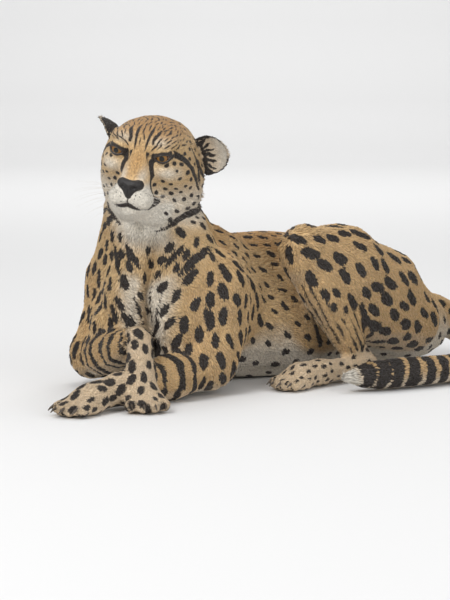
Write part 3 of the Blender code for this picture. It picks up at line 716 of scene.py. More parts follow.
def lie_of_marks(points, normals, region, lie, web):
    """The direction in which spots are drawn out: into the crease on the breast, else near the hair's."""
    _, across, ahead = breast_frame()
    side = breast_side(points)
    way = lie.copy()
    share = ramp(0.0, 0.5, normals @ ahead) * ramp(0.15, 0.03, np.abs(side)) * (points[:, 1] < -0.12)
    share *= on(region, "trunk", "neck", "upper_arm_left", "upper_arm_right")
    inward = np.array([0, 0, -1.0]) - np.sign(side)[:, None] * across * 0.75
    way = way * (1 - share[:, None]) + unit(inward) * share[:, None]
    way[on(region, "thigh_left", "thigh_right")] = (0.0, 0.82, -0.57)
    return flat_on(normals, web.spread(way, 6))


NEIGHBOURS = list(itertools.product((-1, 0, 1), repeat=3))
MOST_TRIES = 60000
SPOT_SHAPE = 2.3  # 2 is an oval, and more is squarer
CELL = 0.04  # side of the cubes in which placed spots are looked up; over any spacing


def place_spots(points, lie, spacing, share, stretch):
    """Scatters centres so that no two are nearer than the spacing, counted longer along the hair."""
    order = rng.permutation(len(points))
    fine = spacing[order] < 0.016
    order = np.concatenate([order[~fine][:MOST_TRIES], order[fine][:MOST_TRIES]])
    order = order[share[order] > 0]
    shelves = {}
    chosen = []

    def crowded(index, cell):
        long = stretch[index] ** 0.5
        for step in NEIGHBOURS:
            others = shelves.get((cell[0] + step[0], cell[1] + step[1], cell[2] + step[2]))
            if others is None:
                continue
            away = points[others] - points[index]
            run = away @ lie[index]
            square = (away * away).sum(axis=1) + run * run * (1 / long**2 - 1)
            if (square < ((spacing[index] + spacing[others]) * 0.47 / long**0.5) ** 2).any():
                return True
        return False

    for index in order.tolist():
        cell = tuple((points[index] // CELL).astype(int))
        if not crowded(index, cell):
            shelves.setdefault(cell, []).append(index)
            chosen.append(index)
    return chosen


def spotted(points, normals, region, lie, local, clear, web):
    """Signed distance to the edge of the nearest spot, below zero inside it."""
    spacing, share, stretch = spot_plan(points, normals, region, local, web)
    share = np.where(clear, share, 0.0)
    chosen = place_spots(points, lie, spacing, share, stretch)
    tree = KDTree(len(points))
    for index, point in enumerate(points.tolist()):
        tree.insert(point, index)
    tree.balance()
    edge = np.full(len(points), EDGE_REACH)
    warp = mottle(points, 0.0075) * 0.6 + mottle(points, 0.0035, 7.0) * 0.4
    for index in chosen:
        size = spacing[index] * share[index] * rng.uniform(0.82, 1.14)
        long = (stretch[index] * rng.uniform(0.84, 1.18)) ** 0.5
        swing = rng.uniform(-0.35, 0.35)
        side = np.cross(normals[index], lie[index])
        way = lie[index] * math.cos(swing) + side * math.sin(swing)
        across = np.cross(normals[index], way)
        found = tree.find_range(points[index], size * long * 1.5 + 0.004)
        near = np.array([hit[1] for hit in found])
        away = points[near] - points[index]
        u, v = away @ way / (size * long), away @ across / (size / long)
        w = away @ normals[index] / (size * 2)
        reach = (np.abs([u, v, w]) ** SPOT_SHAPE).sum(axis=0) ** (1 / SPOT_SHAPE)
        depth = (reach - 1) * size / long**0.5 + warp[near] * size * 0.20
        edge[near] = np.minimum(edge[near], depth)
    return edge


def thrown_on(surface, line):
    """A line of places (left of the breast's crease, height) thrown back onto the front of the body."""
    centre, across, ahead = breast_frame()
    hits = []
    steps, places = np.linspace(0, 1, 24), np.linspace(0, 1, len(line))
    for reach, height in zip(*(np.interp(steps, places, values) for values in zip(*line))):
        start = centre + across * (reach + BREAST_SHIFT) + ahead * 0.4
        start[2] = height
        hit = surface.ray_cast(Vector(start), Vector(-ahead))[0]
        if hit is not None:
            hits.append(hit)
    return np.array(hits)


def whisker_root(surface, side, row, step):
    """The place of a whisker on its pad: four rows, counted down, and steps back from the nose."""
    place = [side * (0.0120 + 0.0058 * step), -0.100 + 0.0042 * step + 0.001 * row,
             -0.0195 - 0.0056 * row + 0.0008 * step]
    return np.array(surface.find_nearest(Vector(from_head(place)))[0])


def stroke(edge, points, uneven, line, widths):
    """Adds a dark line of varying half width, with uneven sides."""
    low, high = line.min(axis=0) - EDGE_REACH, line.max(axis=0) + EDGE_REACH
    near = np.nonzero(((points > low) & (points < high)).all(axis=1))[0]
    away, along = distance_to_line(points[near], line)
    width = np.interp(along, np.linspace(0, 1, len(widths)), widths)
    edge[near] = np.minimum(edge[near], away - width * uneven[near])


# Dark lines of the left side of the face: places in the head's frame, and half widths along them.
FACE_LINES = [
    (TEAR, [0.0054, 0.0050, 0.0045, 0.0042, 0.0042, 0.0046, 0.0050]),
    (MOUTH, [0.0052, 0.0046, 0.0030, 0.0034, 0.0056, 0.0048]),
    # from the outer corner of the eye, down the cheek
    ([(0.0500, -0.044, 0.0430), (0.0590, -0.028, 0.0310), (0.0660, -0.012, 0.0130),
      (0.0720, 0.002, -0.0060), (0.0750, 0.014, -0.0240)], [0.0052, 0.0056, 0.0050, 0.0046, 0.0024]),
    # from the root of the ear, along the jaw's edge to the throat: a dark stripe below the ear, going on as
    # painted shade in the groove along the jaw
    ([(0.0690, 0.014, 0.0200), (0.0745, 0.020, 0.0040), (0.0775, 0.024, -0.0120), (0.0775, 0.026, -0.0280),
      (0.0740, 0.024, -0.0450), (0.0660, 0.016, -0.0620), (0.0540, 0.004, -0.0780),
      (0.0400, -0.008, -0.0900), (0.0280, -0.018, -0.0990)],
     [0.0040, 0.0044, 0.0044, 0.0050, 0.0064, 0.0066, 0.0054, 0.0036, 0.0010]),
    # between the two
    ([(0.0640, 0.002, 0.0460), (0.0690, 0.006, 0.0250), (0.0725, 0.011, 0.0020), (0.0745, 0.016, -0.0180)],
     [0.0014, 0.0034, 0.0038, 0.0014]),
    # three up the forehead
    ([(0.0190, -0.054, 0.0560), (0.0230, -0.048, 0.0690), (0.0250, -0.036, 0.0790)],
     [0.0022, 0.0036, 0.0014]),
    ([(0.0080, -0.064, 0.0440), (0.0100, -0.056, 0.0600), (0.0115, -0.044, 0.0730),
      (0.0110, -0.026, 0.0840)], [0.0008, 0.0022, 0.0024, 0.0006]),
    ([(0.0340, -0.046, 0.0640), (0.0390, -0.034, 0.0760), (0.0410, -0.018, 0.0850)],
     [0.0008, 0.0024, 0.0008]),
]

# Streaks down the left side of the breast, and painted shade down its crease: places (left of the crease,
# height), and half widths.
BREAST_STREAKS_AND_SHADE = [
    ([(0.050, 0.268), (0.040, 0.252), (0.026, 0.236), (0.016, 0.218)], [0.0010, 0.0062, 0.0056, 0.0006]),
    ([(0.084, 0.266), (0.074, 0.246), (0.058, 0.228), (0.046, 0.208)], [0.0012, 0.0074, 0.0078, 0.0008]),
    # this one lies in the crease itself: painted shade down the fold between the arms
    ([(0.0, 0.225), (0.0, 0.150), (0.0, 0.070)], [0.0004, 0.0026, 0.0018]),
    ([(0.022, 0.180), (0.016, 0.155), (0.013, 0.125)], [0.0006, 0.0044, 0.0008]),
]


def shank_streaks_and_shade(edge, points, region):
    """Adds dark streaks along the raised shank, side by side round it, broken here and there: partly the
    coat's streaks and partly painted shade down the fold along its front edge, where they run further up.
    """
    main = axis_of("shank_left", "hind_foot_left")
    centre = middle("shank_left")
    along = (points - centre) @ main
    away = points - centre - along[:, None] * main
    out = unit(np.cross(main, [0.0, 1.0, 0.0]))
    turn = np.arctan2(away @ out, away @ np.cross(main, out))
    reach = np.linalg.norm(away, axis=1)
    ahead = away @ unit(np.array([0.0, -1.0, 0.0]) + main[1] * main) / np.maximum(reach, 1e-6)
    # Along the front edge the streaks begin further up, as painted shade of the fold there.
    start = -0.015 - 0.095 * ramp(0.30, 0.85, ahead)
    here = on(region, "thigh_left", "shank_left") & ~below_knee(points)
    here &= (reach < 0.074) & (along > start) & (along < 0.12)
    warp = mottle(points, 0.030, 8.0) * 0.9 + mottle(points, 0.010, 1.0) * 0.25
    wave = np.sin(turn * SHANK_STREAKS + along * 10 + warp * 1.3)
    wave -= 1.1 * ramp(0.0, 0.6, mottle(points / [1, 1, 2.5], 0.017, 11.0))
    streak = (0.10 + 0.35 * ramp(0.25, 0.80, ahead) - wave) * reach / SHANK_STREAKS * 0.75
    blend = ramp(0.074, 0.058, reach) * ramp(0.0, 0.035, along - start)
    faded = np.minimum(edge + blend * EDGE_REACH, streak + (1 - blend) * EDGE_REACH)
    return np.where(here, faded, edge)


def face_marks(edge, points, face, surface, uneven):
    """Adds the lines of the face, among them painted shade along the jaw, the dark lids with painted shade
    above each eye, and the rows of dots at the whiskers' roots.
    """
    for side in (1, -1):
        for line, widths in FACE_LINES:
            stroke(edge, points, uneven, laid_on(surface, mirrored(line, side)), widths)
        _, _, reach, facing, turned, raised = eye_angles(points[face], side)
        # The lids' own black rim, widened at the corners, and above the eye widened further as painted
        # shade under the brow.
        corner = 0.20 * ramp(0.55, 0.95, np.abs(turned)) + 0.12 * ramp(-0.1, 0.5, raised)
        rim = (lid_gap(turned, raised) - 0.18 - corner) * EYE_RADIUS
        near = (facing > 0.2) & (reach < EYE_RADIUS * 1.9)
        edge[face] = np.where(near, np.minimum(edge[face], rim), edge[face])
        for row, step in itertools.product(range(4), range(5)):
            place = whisker_root(surface, side, row, step)
            away = np.linalg.norm(points[face] - place, axis=1)
            edge[face] = np.minimum(edge[face], away - DOT_RADIUS)
    away = distance_to_line(points[face], laid_on(surface, PHILTRUM))[0]
    edge[face] = np.minimum(edge[face], away - PHILTRUM_WIDTH / 2)


def forearm_bands(edge, points, region):
    """Adds broken bands across the forearms."""
    for name, waves, share in (("forearm_right", 29, 0.22), ("forearm_left", 31, 0.25)):
        here = on(region, name)
        place = (points[here] - middle(name)) @ axis_of(name, "nose")
        wave = np.sin(place * waves * 2 * math.pi + mottle(points[here], 0.022) * 1.3)
        wave -= 0.55 * ramp(0.1, 0.5, mottle(points[here], 0.016, 9.0))
        edge[here] = np.minimum(edge[here], (share - wave) / waves * 0.20)


def from_tail_end(points, tail):
    """How far each point is from the tail's end, along it, unevenly."""
    length = np.linalg.norm(np.diff(TAIL, axis=0), axis=1).sum()
    from_end = (1 - along_tail(points)[0]) * length
    return from_end + (mottle(points, 0.012, 5.0) * 0.0035 - from_end[tail].min())


def ear_marks(edge, points, normals, region, fray):
    """Darkens the ears' backs at the root and their edges near it, and paints shade in each ear's bowl near
    the root and along its upper rim, parted into a fan by the pale hair.
    """
    for name, root in (("ear_left", (0.064, 0.024, 0.018)), ("ear_right", (-0.066, 0.024, 0.018))):
        here = on(region, name)
        outward = unit(middle(name) - from_head(root))
        opening = ear_opening(name)
        upward = np.cross(outward, opening)
        upward *= np.sign(upward[2])
        facing = normals[here] @ opening
        away = points[here] - from_head(root)
        reach = away @ outward
        height = away @ upward + mottle(points[here], 0.006, 9.0) * 0.002
        fan = np.sin(np.arctan2(height, reach + 0.012) * 30 + mottle(points[here], 0.012, 3.0) * 2.5)
        # Painted shade in the bowl: dark near the root and along the upper rim, parted into a fan of
        # streaks by the pale hair.
        inside = np.minimum(reach - 0.033 + np.abs(height) * 0.25 + fan * 0.009, 0.0285 - height)
        patch = np.where(facing < -0.10, reach - 0.062, inside)
        rim = np.where(np.abs(facing) < 0.40, reach - 0.052, EDGE_REACH)
        edge[here] = np.minimum(patch, rim) + fray[here] * 0.002


# Pale patches of the left side of the face: place, size and strength.
PALE_PATCHES = [
    ((0.0450, -0.048, 0.0130), (0.018, 0.03, 0.011), 0.95),  # pouch below the eye
    ((0.0300, -0.050, 0.0590), (0.015, 0.02, 0.007), 0.75),  # above the eye
    ((0.0145, -0.075, 0.0050), (0.006, 0.03, 0.014), 0.80),  # beside the nose
]


def pale_face(local):
    """How pale the face is, and its underside, which goes on down the throat."""
    beside, behind, up = np.abs(local[:, 0]), local[:, 1], local[:, 2]
    front = ramp(0.085, 0.025, behind)
    chin = ramp(-0.028, -0.046, up) * front
    chin *= ramp(0.080, 0.048, beside + 0.5 * np.clip(-0.060 - up, 0, 0.05))
    pads = ramp(-0.058, -0.076, behind) * ramp(0.006, -0.012, up)
    cheeks = 0.7 * ramp(0.004, -0.040, up) * ramp(-0.090, -0.060, up) * front
    face = np.maximum(np.maximum(chin, pads), cheeks)
    for side in (1, -1):
        for (x, y, z), size, strength in PALE_PATCHES:
            face = np.maximum(face, strength * around(local, (x * side, y, z), size))
    return face, chin * ramp(-0.135, -0.085, up)


def pale_parts(points, normals, region, local, tail, from_end):
    """How pale the coat is: throat, chin, cheeks, breast, belly and the insides of the limbs."""
    height = points[:, 2]
    neck = on(region, "neck")
    ahead = breast_frame()[2]
    pale = 0.35 * ramp(-0.3, -0.9, normals[:, 2])
    breast = ramp(0.1, 0.7, normals @ ahead) * ramp(0.060, 0.020, np.abs(breast_side(points)))
    belly = ramp(0.120, 0.045, height) * 0.85
    pale = np.where(on(region, "trunk"), np.maximum(belly, breast * 0.8), pale)
    for side, sign in (("left", -1), ("right", 1)):
        inner = on(region, *[part + side for part in ("upper_arm_", "forearm_", "thigh_", "shank_")])
        pale = np.where(inner, np.maximum(pale, ramp(0.15, 0.8, normals[:, 0] * sign) * 0.8), pale)
    pale = np.where(on(region, *PAWS), np.maximum(pale, 0.35), pale)

    face, chin = pale_face(local)
    throat = ramp(0.05, 0.60, normals @ unit(ahead - HEAD_AXES[1] * 0.6))
    throat *= ramp(0.064, 0.024, across_neck(points, local)) * ramp(0.235, 0.285, height)
    pale = np.where(on(region, "head"), face, np.where(neck, np.maximum(throat, chin), pale))
    ear_tip = ramp(0.105, 0.135, np.linalg.norm(points - HEAD_ORIGIN, axis=1))
    for name in EARS:
        ear = np.where(normals @ ear_opening(name) > -0.1, 0.45 + 0.5 * ear_tip, 0.35)
        pale = np.where(on(region, name), ear, pale)
    underside = 0.6 * ramp(0.1, -0.7, normals[:, 2])
    white_end = ramp(0.005, -0.005, from_end - TAIL_WHITE)
    return np.where(tail, np.maximum(underside, white_end), pale)


def rusty_parts(normals, region, local):
    """How rusty the coat is: along the back, on the crown and down the bridge of the nose."""
    rust = np.where(on(region, "trunk", "neck"), ramp(0.55, 0.98, normals[:, 2]), 0.25)
    bridge = around(local, (0, -0.060, 0.024), (0.016, 0.05, 0.03))
    return np.where(on(region, "head"), np.maximum(ramp(0.050, 0.075, local[:, 2]), bridge), rust)


def markings(skin, points, normals, region, lie, web):
    """The dark, pale and rusty fields of the coat, as values at the skin's points; the dark field holds
    painted shade too, in the ears' bowls, above the eyes, along the jaw, down the breast's crease and on
    the raised shank.
    """
    local = to_head(points)
    surface = surface_tree(skin.data, points)
    head, tail = on(region, "head"), on(region, *COAT_PIECES["coat_tail"])
    uneven = 1 + 0.32 * mottle(points, 0.014, 2.0)
    fray = mottle(points, 0.0040, 3.0)
    edge = np.full(len(points), EDGE_REACH)
    face_marks(edge, points, np.nonzero(head)[0], surface, uneven)
    for side in (1, -1):
        for line, widths in BREAST_STREAKS_AND_SHADE:
            line = thrown_on(surface, [(reach * side, height) for reach, height in line])
            stroke(edge, points, uneven, line, widths)
    edge = shank_streaks_and_shade(edge, points, region)

    clear = edge > np.where(head, CLEAR_OF_LINES["head"], CLEAR_OF_LINES["body"])
    way = lie_of_marks(points, normals, region, lie, web)
    edge = np.minimum(edge, spotted(points, normals, region, way, local, clear, web)) + fray * 0.0004
    forearm_bands(edge, points, region)

    from_end = from_tail_end(points, tail)
    edge[tail & (from_end < RINGS[-1][0] + 0.022)] = EDGE_REACH
    for place, half in RINGS:
        edge = np.where(tail, np.minimum(edge, np.abs(from_end - place) - half), edge)
    ear_marks(edge, points, normals, region, fray)

    pale = pale_parts(points, normals, region, local, tail, from_end)
    return edge, web.spread(pale, 14), web.spread(rusty_parts(normals, region, local), 12)


def ear_opening(name):
    """The direction that the ear's bowl faces."""
    points = read_points(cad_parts[name].data)
    away = points - points.mean(axis=0)
    thin = np.linalg.svd(away, full_matrices=False)[2][2]
    # The bowl's middle is pushed back, away from the opening.
    radius = np.linalg.norm(away, axis=1)
    inner = points[radius < np.quantile(radius, 0.3)].mean(axis=0)
    rim = points[radius > np.quantile(radius, 0.7)].mean(axis=0)
    return thin if thin @ (rim - inner) > 0 else -thin


# ---------------------------------------------------------------- materials
def add_node(tree, kind, **values):
    node = tree.nodes.new(kind)
    for key, value in values.items():
        setattr(node, key, value)
    return node


def feed(tree, socket, source):
    """Links a node's output to the socket, or sets it to a plain value."""
    if hasattr(source, "links"):
        tree.links.new(source, socket)
    else:
        socket.default_value = source


def math_node(tree, operation, *sources, clamp=False):
    node = add_node(tree, "ShaderNodeMath", operation=operation, use_clamp=clamp)
    for socket, source in zip(node.inputs, sources):
        feed(tree, socket, source)
    return node.outputs[0]


def times(tree, first, second):
    return math_node(tree, "MULTIPLY", first, second)


def about_zero(tree, value, share):
    """The value, which wavers about a half, made to waver about zero by a share of that."""
    return times(tree, math_node(tree, "SUBTRACT", value, 0.5), share)


def mix_colour(tree, share, first, second):
    node = add_node(tree, "ShaderNodeMix", data_type="RGBA")
    feed(tree, node.inputs[0], share)
    for socket, colour in ((node.inputs[6], first), (node.inputs[7], second)):
        feed(tree, socket, (*colour, 1) if isinstance(colour, tuple) else colour)
    return node.outputs[2]


def noise(tree, vector, scale, detail=3.0, roughness=0.55):
    node = add_node(tree, "ShaderNodeTexNoise")
    feed(tree, node.inputs["Vector"], vector)
    node.inputs["Scale"].default_value = scale
    node.inputs["Detail"].default_value = detail
    node.inputs["Roughness"].default_value = roughness
    return node.outputs["Fac"]


def span(tree, value, low, high, first=0.0, last=1.0):
    node = add_node(tree, "ShaderNodeMapRange", interpolation_type="SMOOTHSTEP")
    feed(tree, node.inputs[0], value)
    for socket, number in zip(node.inputs[1:5], (low, high, first, last)):
        socket.default_value = number
    return node.outputs[0]


def new_group(name, inputs, outputs):
    group = bpy.data.node_groups.new(name, "ShaderNodeTree")
    for label, kind, value in inputs:
        socket = group.interface.new_socket(label, in_out="INPUT", socket_type=kind)
        if value is not None:
            socket.default_value = value
    for label, kind in outputs:
        group.interface.new_socket(label, in_out="OUTPUT", socket_type=kind)
    return group, add_node(group, "NodeGroupInput").outputs, add_node(group, "NodeGroupOutput").inputs


def coat_colour_group():
    """Coat colour from the painted fields: ground tints, dark marks and painted shade with soft edges, and
    a mottle.
    """
    group, given, out = new_group(
        "coat_colour",
        [("Dark Edge", "NodeSocketFloat", 0.5), ("Pale", "NodeSocketFloat", 0.0),
         ("Rust", "NodeSocketFloat", 0.0), ("Place", "NodeSocketVector", None),
         ("Edge Softness", "NodeSocketFloat", 0.0012), ("Mottle", "NodeSocketFloat", 0.5)],
        [("Color", "NodeSocketColor"), ("Dark", "NodeSocketFloat")])
    broad = noise(group, given["Place"], 38.0)
    fine = noise(group, given["Place"], 620.0, 2.0)
    grain = math_node(group, "ADD", about_zero(group, broad, 0.5), about_zero(group, fine, given["Mottle"]))
    rust = math_node(group, "ADD", given["Rust"], grain, clamp=True)
    pale = math_node(group, "ADD", given["Pale"], times(group, grain, 0.5), clamp=True)
    ground = mix_colour(group, pale, mix_colour(group, rust, BUFF, TAWNY), CREAM)
    frayed = math_node(group, "ADD", given["Dark Edge"], about_zero(group, fine, 0.0022))
    ratio = math_node(group, "DIVIDE", frayed, given["Edge Softness"])
    dark = span(group, ratio, -1.0, 1.0, 1.0, 0.0)
    feed(group, out["Color"], mix_colour(group, dark, ground, mix_colour(group, fine, SABLE, UMBER)))
    feed(group, out["Dark"], dark)
    return group


def shade_group():
    """Darkens a colour by a share, for roots, seams and hollows."""
    group, given, out = new_group(
        "shade",
        [("Color", "NodeSocketColor", (0.5, 0.5, 0.5, 1)), ("Shade", "NodeSocketFloat", 0.0)],
        [("Color", "NodeSocketColor")])
    scaled = add_node(group, "ShaderNodeVectorMath", operation="SCALE")
    feed(group, scaled.inputs[0], given["Color"])
    feed(group, scaled.inputs["Scale"], math_node(group, "SUBTRACT", 1.0, given["Shade"], clamp=True))
    feed(group, out["Color"], scaled.outputs[0])
    return group


def placed(tree, group, **sources):
    node = add_node(tree, "ShaderNodeGroup", node_tree=group)
    for label, source in sources.items():
        feed(tree, node.inputs[label.replace("_", " ")], source)
    return node.outputs


def attribute(tree, name):
    return add_node(tree, "ShaderNodeAttribute", attribute_name=name).outputs


def bump(tree, shader, height, distance, strength=1.0):
    node = add_node(tree, "ShaderNodeBump")
    node.inputs["Strength"].default_value = strength
    node.inputs["Distance"].default_value = distance
    feed(tree, node.inputs["Height"], height)
    feed(tree, shader.inputs["Normal"], node.outputs[0])


def new_material(name, roughness, **values):
    """A material, its nodes, its shader, and the place on the object for its textures."""
    material = bpy.data.materials.new(name)
    material.use_nodes = True
    tree = material.node_tree
    shader = tree.nodes["Principled BSDF"]
    shader.inputs["Roughness"].default_value = roughness
    for label, value in values.items():
        shader.inputs[label.replace("_", " ")].default_value = value
    return material, tree, shader, add_node(tree, "ShaderNodeTexCoord").outputs["Object"]


def two_toned(name, roughness, scale, detail, colours, relief=None, **values):
    """A material that wavers between two colours, with a relief (distance, strength) of the same grain."""
    material, tree, shader, place = new_material(name, roughness, **values)
    waver = noise(tree, place, scale, detail)
    feed(tree, shader.inputs["Base Color"], mix_colour(tree, waver, *colours))
    if relief:
        bump(tree, shader, waver, *relief)
    return material


def painted(tree, place, softness, mottle_share):
    """The coat's colour from the fields painted on the mesh."""
    parts = add_node(tree, "ShaderNodeSeparateColor")
    feed(tree, parts.inputs[0], attribute(tree, "coat_fields")["Color"])
    edge, pale, rust = parts.outputs
    return placed(tree, COAT_COLOUR, Dark_Edge=about_zero(tree, edge, 2 * EDGE_REACH), Pale=pale, Rust=rust,
                  Place=place, Edge_Softness=softness, Mottle=mottle_share)["Color"]


def shaded(tree, shader, colour, shade):
    """Gives the shader a colour, darkened by the shade."""
    feed(tree, shader.inputs["Base Color"], placed(tree, SHADE, Color=colour, Shade=shade)["Color"])


def skin_material():
    material, tree, shader, place = new_material("cheetah_hide", 0.78, Sheen_Weight=0.15,
                                                 Sheen_Roughness=0.5)
    hairs = noise(tree, place, 900.0, 2.0, 0.7)
    tufted = noise(tree, place, 260.0, 3.0, 0.6)
    # Painted shade on the skin in the gaps between the lumps of hair.
    between = times(tree, math_node(tree, "SUBTRACT", 0.62, tufted, clamp=True), 0.9)
    shaded(tree, shader, painted(tree, place, 0.0011, 0.55), between)
    bump(tree, shader, math_node(tree, "ADD", times(tree, hairs, 0.4), tufted), 0.0016, 0.7)
    return material


def tuft_material():
    material, tree, shader, place = new_material("cheetah_coat", 0.62, Sheen_Weight=0.25,
                                                 Sheen_Roughness=0.4)
    parts = add_node(tree, "ShaderNodeSeparateColor")
    feed(tree, parts.inputs[0], attribute(tree, "tuft_fields")["Color"])
    along, tone, across = parts.outputs
    # Painted shade: each tuft is darker towards its root, where the coat around it shades it; the tuft's
    # own random tone is added to that.
    root = span(tree, along, 0.0, 0.55, 0.30, 0.0)
    tint = times(tree, math_node(tree, "SUBTRACT", 1.0, tone), 0.18)
    shaded(tree, shader, painted(tree, place, 0.0007, 0.35), math_node(tree, "ADD", root, tint))
    ridges = math_node(tree, "SINE", times(tree, across, 22.0))
    bump(tree, shader, math_node(tree, "ADD", ridges, noise(tree, place, 1500.0, 1.0)), 0.00022, 0.6)
    return material


# ---------------------------------------------------------------- the coat
MOST_TUFTS = 131000
LOWEST_ROOT = 0.003
CLAW_ROOM = 0.0055  # radius kept free of tufts round the middle of each claw
NOSE_ROOM = 0.0018  # and the distance from the nose leather
TUFTS_A_PIECE = 19800  # of ten triangles each, which keeps a piece under 200,000


def painted_fields(edge, pale, rust):
    return np.stack([np.clip(edge / EDGE_REACH, -1, 1) * 0.5 + 0.5, np.clip(pale, 0, 1),
                     np.clip(rust, 0, 1), np.ones(len(edge))], axis=1)


def write_colours(mesh, name, colours):
    layer = mesh.color_attributes.new(name, "FLOAT_COLOR", "POINT")
    layer.data.foreach_set("color", colours.astype(np.float32).ravel())


def sample_roots(skin, points, region, allowed):
    """Picks roots over the skin, closer together where the coat is finer."""
    mesh = skin.data
    mesh.calc_loop_triangles()
    corners = numbers_of(mesh.loop_triangles, 3)
    corners = corners[allowed[corners].all(axis=1)]
    a, b, c = (points[corners[:, i]] for i in range(3))
    area = np.linalg.norm(np.cross(b - a, c - a), axis=1) / 2
    room = by_region(COAT, region[corners[:, 0]])[:, ROOM]
    wanted = np.cumsum(area / room**2)
    count = min(int(wanted[-1]), MOST_TUFTS)
    picks = (np.arange(count) + rng.random(count)) / count * wanted[-1]
    face = np.searchsorted(wanted, picks).clip(0, len(corners) - 1)
    u, v = rng.random(count), rng.random(count)
    flip = u + v > 1
    u, v = np.where(flip, 1 - u, u), np.where(flip, 1 - v, v)
    return corners[face], np.stack([1 - u - v, u, v], axis=1)


def blend_at(corners, shares, values):
    """The skin's values at places inside its triangles."""
    if values.ndim == 1:
        return (values[corners] * shares).sum(axis=1)
    return (values[corners] * shares[:, :, None]).sum(axis=1)


MARGIN = 0.004  # between the laid-out parts, and round the unit square


def unwrap_place(root, normal, part):
    """A place on the unit square for each root: each part's six sides are laid flat and packed in rows."""
    facing = np.abs(normal).argmax(axis=1)
    sign = np.take_along_axis(normal, facing[:, None], 1)[:, 0] > 0
    chart = part * 6 + facing * 2 + sign
    others = np.array([[1, 2], [0, 2], [0, 1]])[facing]
    flat = np.take_along_axis(root, others, 1)
    charts = []
    for number in np.unique(chart):
        here = chart == number
        low, high = flat[here].min(axis=0), flat[here].max(axis=0)
        charts.append((here, low, high - low + MARGIN))
    charts.sort(key=lambda item: -item[2][1])

    def pack(width):
        spots, x, y, row = [], 0.0, 0.0, 0.0
        for _, _, size in charts:
            if x + size[0] > width and x > 0:
                x, y, row = 0.0, y + row, 0.0
            spots.append((x, y))
            x, row = x + size[0], max(row, size[1])
        return spots, y + row

    width = max(size[0] for _, _, size in charts)
    while pack(width)[1] > width:
        width *= 1.04
    uv = np.zeros((len(root), 2))
    for (here, low, _), spot in zip(charts, pack(width)[0]):
        uv[here] = (flat[here] - low + MARGIN / 2 + np.array(spot)) / width
    return MARGIN + uv * (1 - 2 * MARGIN)


# A tuft's seven corners: how far along and across it each lies, and the triangles between them.
TUFT_MIDDLE = 0.52
TUFT_ALONG = np.array([0, 0, 0.05, TUFT_MIDDLE, TUFT_MIDDLE, TUFT_MIDDLE, 1.0])
TUFT_ACROSS = np.array([0, 1, 0.5, 0, 1, 0.5, 0.5])
TUFT_FACES = np.array([[0, 2, 5], [0, 5, 3], [2, 1, 4], [2, 4, 5], [1, 0, 3], [1, 3, 4],
                       [3, 5, 6], [5, 4, 6], [4, 3, 6], [0, 1, 2]])
ROOT_DEPTH = 0.0012  # how deep in the skin a tuft begins
TUFT_PATCH = 0.003  # side of a tuft's patch on the unwrapped square


def build_tufts(name, root, normal, lie, length, width, lift, fields, tone, part, paint_at):
    """Joined tufts: each a thin three-sided lock from its root along the lie of the coat to a point."""
    count = len(root)
    length, width, lift = length[:, None], width[:, None], lift[:, None]
    bend = rng.normal(0, 0.10, count)[:, None]
    way = unit(lie + np.cross(normal, lie) * bend)
    side = np.cross(normal, way)
    half, tall = side * width * 0.5, normal * width * 0.34
    deep = root - normal * ROOT_DEPTH
    mid = root + way * length * TUFT_MIDDLE + normal * lift * 0.80
    tip = root + way * length + normal * lift * 0.55 + side * bend * length * 0.4
    corners = np.stack([
        deep - half * 0.84, deep + half * 0.84, root + tall * 0.6 + way * width * 0.1,
        mid - half - tall * 0.3, mid + half - tall * 0.3, mid + tall * 0.7, tip], axis=1)
    mesh = bpy.data.meshes.new(name)
    faces = (np.arange(count)[:, None, None] * 7 + TUFT_FACES[None]).reshape(-1, 3)
    mesh.vertices.add(count * 7)
    mesh.loops.add(len(faces) * 3)
    mesh.polygons.add(len(faces))
    mesh.vertices.foreach_set("co", corners.astype(np.float32).ravel())
    mesh.loops.foreach_set("vertex_index", faces.astype(np.int32).ravel())
    mesh.polygons.foreach_set("loop_start", np.arange(len(faces), dtype=np.int32) * 3)
    mesh.update(calc_edges=True)
    paint = [fields] * 3 + [paint_at(mid)] * 3 + [paint_at(root + way * length * 0.8)]
    write_colours(mesh, "coat_fields", np.stack(paint, axis=1).reshape(-1, 4))
    write_colours(mesh, "tuft_fields", np.stack([
        np.tile(TUFT_ALONG, count), np.repeat(tone, 7), np.tile(TUFT_ACROSS, count), np.ones(count * 7)],
        axis=1))
    place = unwrap_place(root, normal, part)
    patch = np.stack([TUFT_ACROSS - 0.5, TUFT_ALONG - 0.5], axis=1) * TUFT_PATCH
    uv = (place[:, None, :] + patch[None]).reshape(-1, 2)
    layer = mesh.uv_layers.new(name="OFBake")
    layer.data.foreach_set("uv", uv[faces.ravel()].astype(np.float32).ravel())
    obj = new_piece(name, mesh)
    mesh.materials.append(COAT_MATERIAL)
    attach(obj, "root")


def where_hair_grows(points):
    """Which points of the skin bear tufts: not the eyes, the edge of the nose, the claws or the soles."""
    local = to_head(points)
    allowed = points[:, 2] > LOWEST_ROOT
    for side in (1, -1):
        _, _, reach, facing, turned, raised = eye_angles(points, side)
        allowed &= ~((reach < EYE_RADIUS * 1.5) & (lid_gap(turned, raised) < 0.13) & (facing > 0))
    nose = node_tree("nose")
    for index in np.nonzero((local[:, 1] < -0.075) & (np.abs(local[:, 0]) < 0.03))[0].tolist():
        if nose.find_nearest(Vector(points[index]))[3] < NOSE_ROOM:
            allowed[index] = False
    for claw in [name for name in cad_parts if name.startswith("claw")]:
        allowed &= np.linalg.norm(points - middle(claw), axis=1) > CLAW_ROOM
    return allowed


